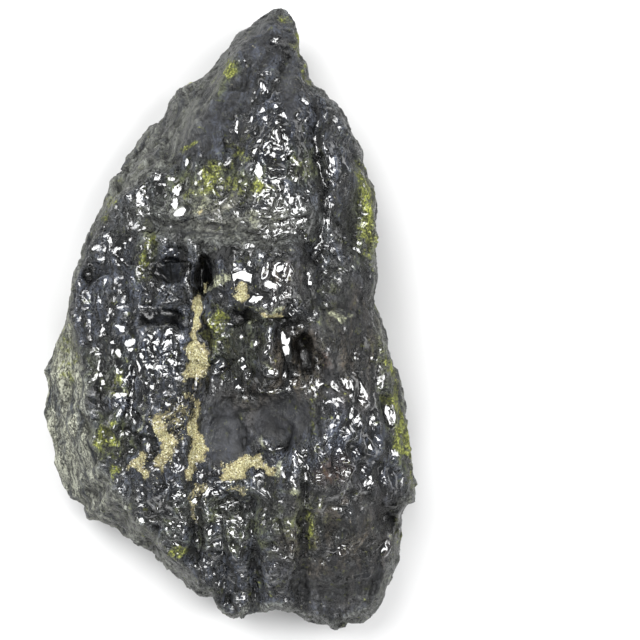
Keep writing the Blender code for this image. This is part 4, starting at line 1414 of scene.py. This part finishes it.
def make_fibre_streaks():
    """Height: noise drawn out along the stone. Line: where it is half, as thin threads."""
    group, given, out = node_group(
        "fibre_streaks",
        (("Vector", "NodeSocketVector", None), ("Scale", "NodeSocketFloat", 500.0),
         ("Bend", "NodeSocketFloat", 0.012), ("Stretch", "NodeSocketVector", (1.0, 0.16, 0.4))),
        (("Line", "NodeSocketFloat"), ("Height", "NodeSocketFloat")),
    )
    place = given.outputs["Vector"]
    moved = bent(group, place, centred_noise(group, place, STREAK_BENDS), given.outputs["Bend"])
    drawn = vector_math(group, "MULTIPLY", moved, given.outputs["Stretch"])
    broad = noise_of(group, drawn, given.outputs["Scale"], detail=5.0, rough=0.65)
    group.links.new(broad, out.inputs["Height"])
    crest = calc(group, "ABSOLUTE", calc(group, "SUBTRACT", broad, 0.5))
    group.links.new(spread(group, crest, 0.0, THREAD_WIDTH, 1.0, 0.0), out.inputs["Line"])
    return group


fibre_streaks = make_fibre_streaks()
print(fibre_streaks.name, "nodes:", len(fibre_streaks.nodes))

# %% Wet ripples
CURL_FINENESS = 1.7  # how much finer the bending noise is than the noise that it bends


def make_wet_ripples():
    """Height: a sine of noise that other noise has bent. Its crests follow the contours of the
    noise, so they curl and close on themselves, and a lamp shows in them as short curved lines."""
    group, given, out = node_group(
        "wet_ripples",
        (("Vector", "NodeSocketVector", None), ("Scale", "NodeSocketFloat", 250.0),
         ("Curl", "NodeSocketFloat", 0.0020), ("Rings", "NodeSocketFloat", 60.0)),
        (("Height", "NodeSocketFloat"),),
    )
    place = given.outputs["Vector"]
    finer = times(group, given.outputs["Scale"], CURL_FINENESS)
    moved = bent(group, place, centred_noise(group, place, finer, 1.0), given.outputs["Curl"])
    contour = noise_of(group, moved, given.outputs["Scale"], detail=1.0, rough=0.4)
    wave = calc(group, "SINE", times(group, contour, given.outputs["Rings"]))
    group.links.new(wave, out.inputs["Height"])
    return group


wet_ripples = make_wet_ripples()
print(wet_ripples.name, "nodes:", len(wet_ripples.nodes))

# %% Gritty grain
def make_grit():
    """Shade and height of packed grains: each cell has its own shade and a rounded top."""
    group, given, out = node_group(
        "grit",
        (("Vector", "NodeSocketVector", None), ("Scale", "NodeSocketFloat", 2200.0)),
        (("Shade", "NodeSocketFloat"), ("Height", "NodeSocketFloat")),
    )
    cells = add(group, "ShaderNodeTexVoronoi", Vector=given.outputs["Vector"],
                Scale=given.outputs["Scale"])
    split = add(group, "ShaderNodeSeparateColor", Color=cells.outputs["Color"])
    group.links.new(split.outputs[0], out.inputs["Shade"])
    group.links.new(calc(group, "SUBTRACT", 1.0, cells.outputs["Distance"]), out.inputs["Height"])
    return group


grit = make_grit()
print(grit.name, "nodes:", len(grit.nodes))

# %% [markdown]
# The stone's finish
# One material covers the whole stone, because it is one piece. The body is near black. Fibre
# streaks lighten it, the flank keeps a pale dry skin, the scoops are smooth and dull, the weathered
# spots are yellow-green, and sand dust colours the grooves between the grains. Water is a thin
# clear coat over all of it where the wet mask holds, so colour and gloss stay apart.

# %% Colours of the jade
BODY_BLACK = (0.004, 0.0045, 0.005, 1)
BODY_SLATE = (0.036, 0.041, 0.054, 1)
BODY_WARM = (0.046, 0.037, 0.026, 1)
THREAD_GREY = (0.086, 0.089, 0.084, 1)
FLECK_CREAM = (0.250, 0.235, 0.155, 1)
SCOOP_GREY = (0.021, 0.022, 0.026, 1)
OLIVE = (0.062, 0.070, 0.024, 1)
SKIN_PALE = (0.285, 0.290, 0.230, 1)
SKIN_DEEP = (0.047, 0.053, 0.062, 1)
LIME = (0.105, 0.118, 0.017, 1)
LIME_PALE = (0.240, 0.252, 0.068, 1)
STAIN_BROWN = (0.030, 0.022, 0.014, 1)
STAIN_RUST = (0.040, 0.022, 0.014, 1)
SPOT_PALE = (0.300, 0.310, 0.210, 1)
DUST_TAN = (0.430, 0.380, 0.200, 1)
DUST_DEEP = (0.120, 0.100, 0.055, 1)
print("darkest colour:", BODY_BLACK[:3], "palest:", DUST_TAN[:3])

# %% Masks with broken edges
# features a metre, breakup and softness of each mask's edge
BROKEN_MASKS = {
    "wet": (360.0, 1.3, 0.12),
    "lime": (420.0, 2.4, 0.30),
    "sand": (700.0, 0.9, 0.12),
    "olive": (200.0, 2.0, 0.35),
    "warm": (90.0, 1.0, 0.40),
    "black": (200.0, 0.9, 0.22),
    "pale": (420.0, 1.2, 0.25),
    "rust": (200.0, 1.2, 0.45),
}
SOFT_MASKS = ("dull", "dry", "hollow", "crest", "flat")


def mask_of(tree, name):
    """A mask that the stone's mesh carries at its vertices."""
    return add(tree, "ShaderNodeAttribute", {"attribute_name": name}).outputs["Fac"]


def jade_masks(tree, place):
    """Every finish's mask, those with an edge broken up at their own scale."""
    masks = {name: mask_of(tree, name) for name in SOFT_MASKS}
    for name, (scale, breakup, softness) in BROKEN_MASKS.items():
        masks[name] = placed(tree, broken_patch, Vector=place, Area=mask_of(tree, name),
                             Scale=scale, Breakup=breakup, Softness=softness)["Mask"]
    return masks


print("masks of the finish:", len(BROKEN_MASKS) + len(SOFT_MASKS))

# %% The body's colour
# the most of each veil that covers what lies under it
DULL_COVER, OLIVE_COVER, RUST_COVER, PALE_COVER = 0.85, 0.8, 0.7, 0.85
THREAD_COVER, FLECK_COVER = 0.75, 0.8
LEAST_OLIVE, LEAST_THREADS = 0.1, 0.08
# features a metre
THREAD_PATCHES, FLECKS, FLECK_PATCHES = 110.0, 900.0, 60.0
# the value of each pattern's noise at which it begins to show, and the value at which it is full
CLOUD_NOISE, THREAD_NOISE = (0.42, 0.62), (0.40, 0.70)
FLECK_NOISE, FLECK_PATCH_NOISE = (0.66, 0.72), (0.45, 0.65)


def body_colour(tree, place, masks, threads, broad):
    """Near-black stone streaked with slate or warm grey, with olive veils, threads and flecks."""
    grey = blend(tree, masks["warm"], BODY_SLATE, BODY_WARM)
    cloud = spread(tree, broad, *CLOUD_NOISE)
    body = blend(tree, cloud, BODY_BLACK, grey)
    body = blend(tree, times(tree, masks["dull"], DULL_COVER), body, SCOOP_GREY)
    veil = times(tree, masks["olive"], fade(tree, cloud, LEAST_OLIVE, OLIVE_COVER))
    body = blend(tree, veil, body, OLIVE)
    body = blend(tree, times(tree, masks["rust"], RUST_COVER), body, STAIN_RUST)
    body = blend(tree, times(tree, masks["pale"], PALE_COVER), body, SPOT_PALE)
    thready = noise_of(tree, place, THREAD_PATCHES)
    thready = spread(tree, thready, *THREAD_NOISE, LEAST_THREADS, THREAD_COVER)
    body = blend(tree, times(tree, threads, thready), body, THREAD_GREY)
    fleck = spread(tree, noise_of(tree, place, FLECKS, rough=0.6, distort=0.8), *FLECK_NOISE)
    patchy = noise_of(tree, place, FLECK_PATCHES, detail=2.0)
    patchy = spread(tree, patchy, *FLECK_PATCH_NOISE, 0.0, FLECK_COVER)
    return blend(tree, times(tree, fleck, patchy), body, FLECK_CREAM)


print("flecks are as fine as", round(1 / FLECKS / MM, 1), "mm")

# %% How the colours cover each other
# features a metre
CRACKING, LIME_SPECKS, STAINS, DUST_GRAINS = 200.0, 1500.0, 700.0, 1500.0
# the values of each noise at which it begins to show and is full
SKIN_NOISE, SPECK_NOISE, STAIN_NOISE = (0.34, 0.58), (0.45, 0.75), (0.60, 0.72)
GRAIN_LEVELS = (0.84, 1.16)
GRAIN_VALLEY_PAINTED_SHADE, GRAIN_TOP_PAINTED_LIGHT = 0.20, 1.75  # the painted shade in the grain's valleys and the painted light on its tops
CRACK_DARK = 0.30  # the brightness left in a thin crack
# the brightness left in hollows, which is painted shade, on crests, and in black places, which is
# painted shade in the pits and the hollow and the stone's own dark tone elsewhere
HOLLOW_PAINTED_SHADE, CREST_LIGHT, BLACK_AND_PAINTED_SHADE = 0.35, 1.5, 0.22
PLAIN_SHARE = 0.6  # how much of the grain's shade the smoothest places lose
LIME_COVER = 0.9


def painted_grain_shading(tree, place, level):
    """How bright the fine grain is: painted shade in its valleys, painted light on its tops, and dark
    in the thin cracks.
    """
    shade = spread(tree, level, *GRAIN_LEVELS, GRAIN_VALLEY_PAINTED_SHADE, GRAIN_TOP_PAINTED_LIGHT)
    crack = placed(tree, fibre_streaks, Vector=place, Scale=CRACKING, Bend=0.03,
                   Stretch=(1.0, 0.55, 0.8))["Line"]
    return times(tree, shade, fade(tree, crack, 1.0, CRACK_DARK))


def jade_shade(tree, place, masks, level):
    """How bright the stone's colour is: painted shade in the hollows and in the grain's valleys,
    painted light on the grain's tops, darker in black places and lighter on crests.
    """
    shade = fade(tree, masks["hollow"], 1.0, HOLLOW_PAINTED_SHADE)
    shade = times(tree, shade, fade(tree, masks["crest"], 1.0, CREST_LIGHT))
    # black places: painted shade in the pits, the cleft and the hollow, the stone's own dark tone
    # elsewhere
    shade = times(tree, shade, fade(tree, masks["black"], 1.0, BLACK_AND_PAINTED_SHADE))
    plain = times(tree, calc(tree, "POWER", masks["dull"], 2.0), PLAIN_SHARE)
    return times(tree, shade, blend_value(tree, plain, painted_grain_shading(tree, place, level), 1.0))


def jade_colour(tree, place, masks, threads, broad, level):
    """Body, skin, lime, stain and dust, each laid over the one before; all but the dust are darkened by
    the painted shade of jade_shade.
    """
    body = body_colour(tree, place, masks, threads, broad)
    skin = blend(tree, spread(tree, broad, *SKIN_NOISE), SKIN_DEEP, SKIN_PALE)
    body = blend(tree, masks["dry"], body, skin)
    specks = spread(tree, noise_of(tree, place, LIME_SPECKS), *SPECK_NOISE)
    lime = blend(tree, specks, LIME, LIME_PALE)
    body = blend(tree, times(tree, masks["lime"], LIME_COVER), body, lime)
    stain = spread(tree, noise_of(tree, place, STAINS, detail=4.0, rough=0.7), *STAIN_NOISE)
    body = blend(tree, times(tree, stain, masks["dry"]), body, STAIN_BROWN)
    shade = jade_shade(tree, place, masks, level)
    body = add(tree, "ShaderNodeHueSaturation", Color=body, Value=shade).outputs[0]
    dust_shade = placed(tree, grit, Vector=place, Scale=DUST_GRAINS)["Shade"]
    return blend(tree, masks["sand"], body, blend(tree, dust_shade, DUST_DEEP, DUST_TAN))


print("deepest shade:", HOLLOW_PAINTED_SHADE * BLACK_AND_PAINTED_SHADE * GRAIN_VALLEY_PAINTED_SHADE)

# %% Gloss
WET_ROUGHNESS, BLACK_ROUGHNESS, DULL_ROUGHNESS = 0.06, 0.22, 0.72
VALLEY_ROUGHNESS, TOP_ROUGHNESS = 0.14, 0.98  # of the grain where the stone is damp
GLOSS_LEVELS = (0.94, 1.06)  # the levels of the grain that count as its valleys and its tops
MATT_FINISHES = {"dry": 0.85, "lime": 0.7, "sand": 0.9}  # their roughness


def jade_roughness(tree, masks, level):
    """Mirror-like where wet and in the valleys of the grain, matt on its tops, skin and dust."""
    rough = spread(tree, level, *GLOSS_LEVELS, VALLEY_ROUGHNESS, TOP_ROUGHNESS)
    rough = blend_value(tree, masks["dull"], rough, DULL_ROUGHNESS)
    rough = blend_value(tree, masks["wet"], rough, WET_ROUGHNESS)
    rough = blend_value(tree, masks["black"], rough, BLACK_ROUGHNESS)
    for name, matt in MATT_FINISHES.items():
        rough = calc(tree, "MAXIMUM", rough, times(tree, masks[name], matt))
    return rough


print("matt finishes:", *MATT_FINISHES)

# %% Relief too fine for mesh
# features a metre
RIPPLES, SWELLS, DUST_RELIEF = 190.0, 520.0, 2100.0
RIPPLE_CURL = 3.0 * MM  # how far the ripples' noise is bent
RIPPLE_RINGS = 32.0  # how fast the sine runs through the noise
# heights in millimetres
RIPPLE_HEIGHT, SWELL_HEIGHT, RASP_HEIGHT, FIBRE_HEIGHT, DUST_HEIGHT = 0.085, 0.34, 0.50, 0.65, 0.25
CALMED = {"dull": 0.75, "black": 0.8, "flat": 0.7}  # the share that each finish takes away


def jade_relief(tree, place, masks, fibre, rasp):
    """Height in millimetres of what is too fine for mesh: ripples where wet, fibres elsewhere."""
    ripples = placed(tree, wet_ripples, Vector=place, Scale=RIPPLES, Curl=RIPPLE_CURL,
                     Rings=RIPPLE_RINGS)["Height"]
    curls = times(tree, ripples, RIPPLE_HEIGHT)
    swells = noise_of(tree, place, SWELLS, detail=1.0)
    curls = calc(tree, "MULTIPLY_ADD", swells, SWELL_HEIGHT, curls)
    felt = calc(tree, "MULTIPLY_ADD", rasp, RASP_HEIGHT, times(tree, fibre, FIBRE_HEIGHT))
    calm = 1.0
    for name, share in CALMED.items():
        calm = times(tree, calm, without(tree, masks[name], share))
    height = times(tree, blend_value(tree, masks["wet"], felt, curls), calm)
    grain = placed(tree, grit, Vector=place, Scale=DUST_RELIEF)["Height"]
    return calc(tree, "MULTIPLY_ADD", grain, times(tree, masks["sand"], DUST_HEIGHT), height)


print("calmed by:", *CALMED)

# %% The jade material
FINE_STREAKS, BROAD_STREAKS, RASP = 1000.0, 330.0, 1500.0  # features a metre
LEVEL_FIBRE, LEVEL_RASP = 1.1, 0.9  # their shares in the level of the grain, which is about 1
STONE_IOR, COAT_IOR, COAT_ROUGHNESS = 1.5, 1.8, 0.05


def streaks(tree, place, scale):
    """Height and lines of the fibres, along the stone but across it in the saddle."""
    along = placed(tree, fibre_streaks, Vector=place, Scale=scale)
    across = placed(tree, fibre_streaks, Vector=place, Scale=scale, Stretch=(0.16, 1.0, 0.4),
                    Bend=0.02)
    saddle = mask_of(tree, "across")
    return [blend_value(tree, saddle, along[part], across[part]) for part in ("Height", "Line")]


def jade_material():
    """The finish of the whole stone: colour, gloss, water and fine relief from its masks."""
    material, tree, shader = new_material("wet_jade")
    place = place_node(tree)
    masks = jade_masks(tree, place)
    fibre, threads = streaks(tree, place, FINE_STREAKS)
    broad = streaks(tree, place, BROAD_STREAKS)[0]
    rasp = noise_of(tree, place, RASP, detail=2.5, rough=0.65)
    level = calc(tree, "MULTIPLY_ADD", fibre, LEVEL_FIBRE, times(tree, rasp, LEVEL_RASP))
    relief = jade_relief(tree, place, masks, fibre, rasp)
    bump = add(tree, "ShaderNodeBump", Height=relief, Distance=MM, Strength=1.0)
    feed(tree, shader.inputs["Base Color"], jade_colour(tree, place, masks, threads, broad, level))
    feed(tree, shader.inputs["Roughness"], jade_roughness(tree, masks, level))
    feed(tree, shader.inputs["Normal"], bump.outputs[0])
    feed(tree, shader.inputs["Coat Weight"], masks["wet"])
    feed(tree, shader.inputs["IOR"], STONE_IOR)
    feed(tree, shader.inputs["Coat Roughness"], COAT_ROUGHNESS)
    feed(tree, shader.inputs["Coat IOR"], COAT_IOR)
    return material


stone.data.materials.clear()
stone.data.materials.append(jade_material())
print("jade material:", len(stone.data.materials[0].node_tree.nodes), "nodes")

# %% [markdown]
# The sand's finish
# Quartz sand is pale yellow to white with a few darker grains. Each grain carries one tone, which
# picks its colour on a ramp, and the shared grit group adds a mottle inside the grain.

# %% The sand material
# place on the ramp and colour of each tone
SAND_TONES = (
    (0.00, (0.05, 0.045, 0.03, 1)), (0.12, (0.15, 0.125, 0.06, 1)), (0.35, (0.31, 0.28, 0.13, 1)),
    (0.70, (0.48, 0.455, 0.25, 1)), (0.92, (0.60, 0.58, 0.40, 1)), (1.00, (0.74, 0.72, 0.62, 1)),
)
MOTTLE = 5200.0  # features a metre
MOTTLE_DARK, MOTTLE_LIGHT = 0.82, 1.08
SAND_ROUGHNESS = 0.72


def sand_material():
    """Each grain's own tone from a colour ramp, mottled by grit."""
    material, tree, shader = new_material("quartz_sand")
    place = place_node(tree)
    ramp = add(tree, "ShaderNodeValToRGB", Fac=mask_of(tree, "tone"))
    points = ramp.color_ramp.elements
    while len(points) < len(SAND_TONES):
        points.new(0.5)
    for point, (at, colour) in zip(points, SAND_TONES):
        point.position = at
        point.color = colour
    mottle = placed(tree, grit, Vector=place, Scale=MOTTLE)["Shade"]
    shade = fade(tree, mottle, MOTTLE_DARK, MOTTLE_LIGHT)
    tinted = add(tree, "ShaderNodeHueSaturation", Color=ramp.outputs[0], Value=shade)
    feed(tree, shader.inputs["Base Color"], tinted.outputs[0])
    feed(tree, shader.inputs["Roughness"], SAND_ROUGHNESS)
    return material


grains.data.materials.append(sand_material())
print("tones of sand:", len(SAND_TONES))

# %% What the pieces are
for piece in (stone, grains):
    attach(piece, "root")
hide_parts("jade_stone")
print("pieces:", stone.name, grains.name)

# %% [markdown]
# Floor, light and camera
# The stone lies on a pale floor under soft studio light. Wet stone shows its shape by its glints, so
# the light comes from three round lamps, high on the left, on the right and in front. They are small
# enough for crisp glints and wide enough for soft shadows, and a pale world fills the shade. The
# camera looks straight down.

# %% Floor and light
FLOOR_HALF = 2.5  # metres from its middle to an edge
FLOOR_TONE = (0.66, 0.66, 0.66, 1)
FLOOR_ROUGHNESS = 0.9
WORLD_TONE = (0.95, 0.97, 1.0, 1)
WORLD_STRENGTH = 0.20
LAMP_DISTANCE = 1.2  # metres from the middle of the frame
# each lamp's tilt from straight above and turn round from +X in degrees, its width and its power
LAMPS = {
    "left_lamp": (25, LEFT, 0.77, 18.0),
    "right_lamp": (28, RIGHT, 0.60, 11.5),
    "front_lamp": (40, -98, 0.43, 5.4),
}


def pale_floor():
    """A flat square around the stone, just under it."""
    corners = FLOOR_HALF * np.array([(-1, -1, 0), (1, -1, 0), (1, 1, 0), (-1, 1, 0)], float)
    mesh = mesh_from("studio_floor", corners, np.array([[0, 1, 2, 3]]), np.empty((0, 3), int))
    material, tree, shader = new_material("pale_floor")
    feed(tree, shader.inputs["Base Color"], FLOOR_TONE)
    feed(tree, shader.inputs["Roughness"], FLOOR_ROUGHNESS)
    mesh.materials.append(material)
    floor = in_scene("studio_floor", mesh)


def round_lamp(name, tilt, turn, width, power):
    """A disc lamp turned towards the stone, from its direction as a point on a unit sphere."""
    tilt, turn = math.radians(tilt), math.radians(turn)
    lamp = bpy.data.lights.new(name, "AREA")
    lamp.shape = "DISK"
    lamp.size = width
    lamp.energy = power
    level = math.sin(tilt)
    away = Vector((math.cos(turn) * level, math.sin(turn) * level, math.cos(tilt)))
    holder = in_scene(name, lamp)
    holder.location = away * LAMP_DISTANCE
    holder.rotation_euler = away.to_track_quat("Z", "Y").to_euler()


def pale_world():
    """A world of one even tone."""
    world = bpy.data.worlds.new("pale_world")
    world.use_nodes = True
    shade = world.node_tree.nodes["Background"]
    shade.inputs["Color"].default_value = WORLD_TONE
    shade.inputs["Strength"].default_value = WORLD_STRENGTH
    bpy.context.scene.world = world


pale_floor()
for name, lamp in LAMPS.items():
    round_lamp(name, *lamp)
pale_world()
print("lamps:", *LAMPS)

# %% Camera
CAMERA_PLACE = (29.28 * MM, -0.16 * MM, 800 * MM)
FRAME_PIXELS = 640
PIXEL_SIZE = 0.32 * MM  # on the stone, at the height of its widest outline
OUTLINE_HEIGHT = 30 * MM
SENSOR_WIDTH = 36.0


def camera_above():
    """Lens = sensor width times distance, over the width of what the frame takes in."""
    data = bpy.data.cameras.new("camera_above")
    distance = CAMERA_PLACE[2] - OUTLINE_HEIGHT
    data.sensor_width = SENSOR_WIDTH
    data.lens = SENSOR_WIDTH * distance / (FRAME_PIXELS * PIXEL_SIZE)
    camera = in_scene("camera_above", data)
    camera.location = CAMERA_PLACE
    bpy.context.scene.camera = camera
    return data.lens


print("lens in millimetres:", round(camera_above(), 1))
bpy.context.scene.view_settings.view_transform = "Standard"
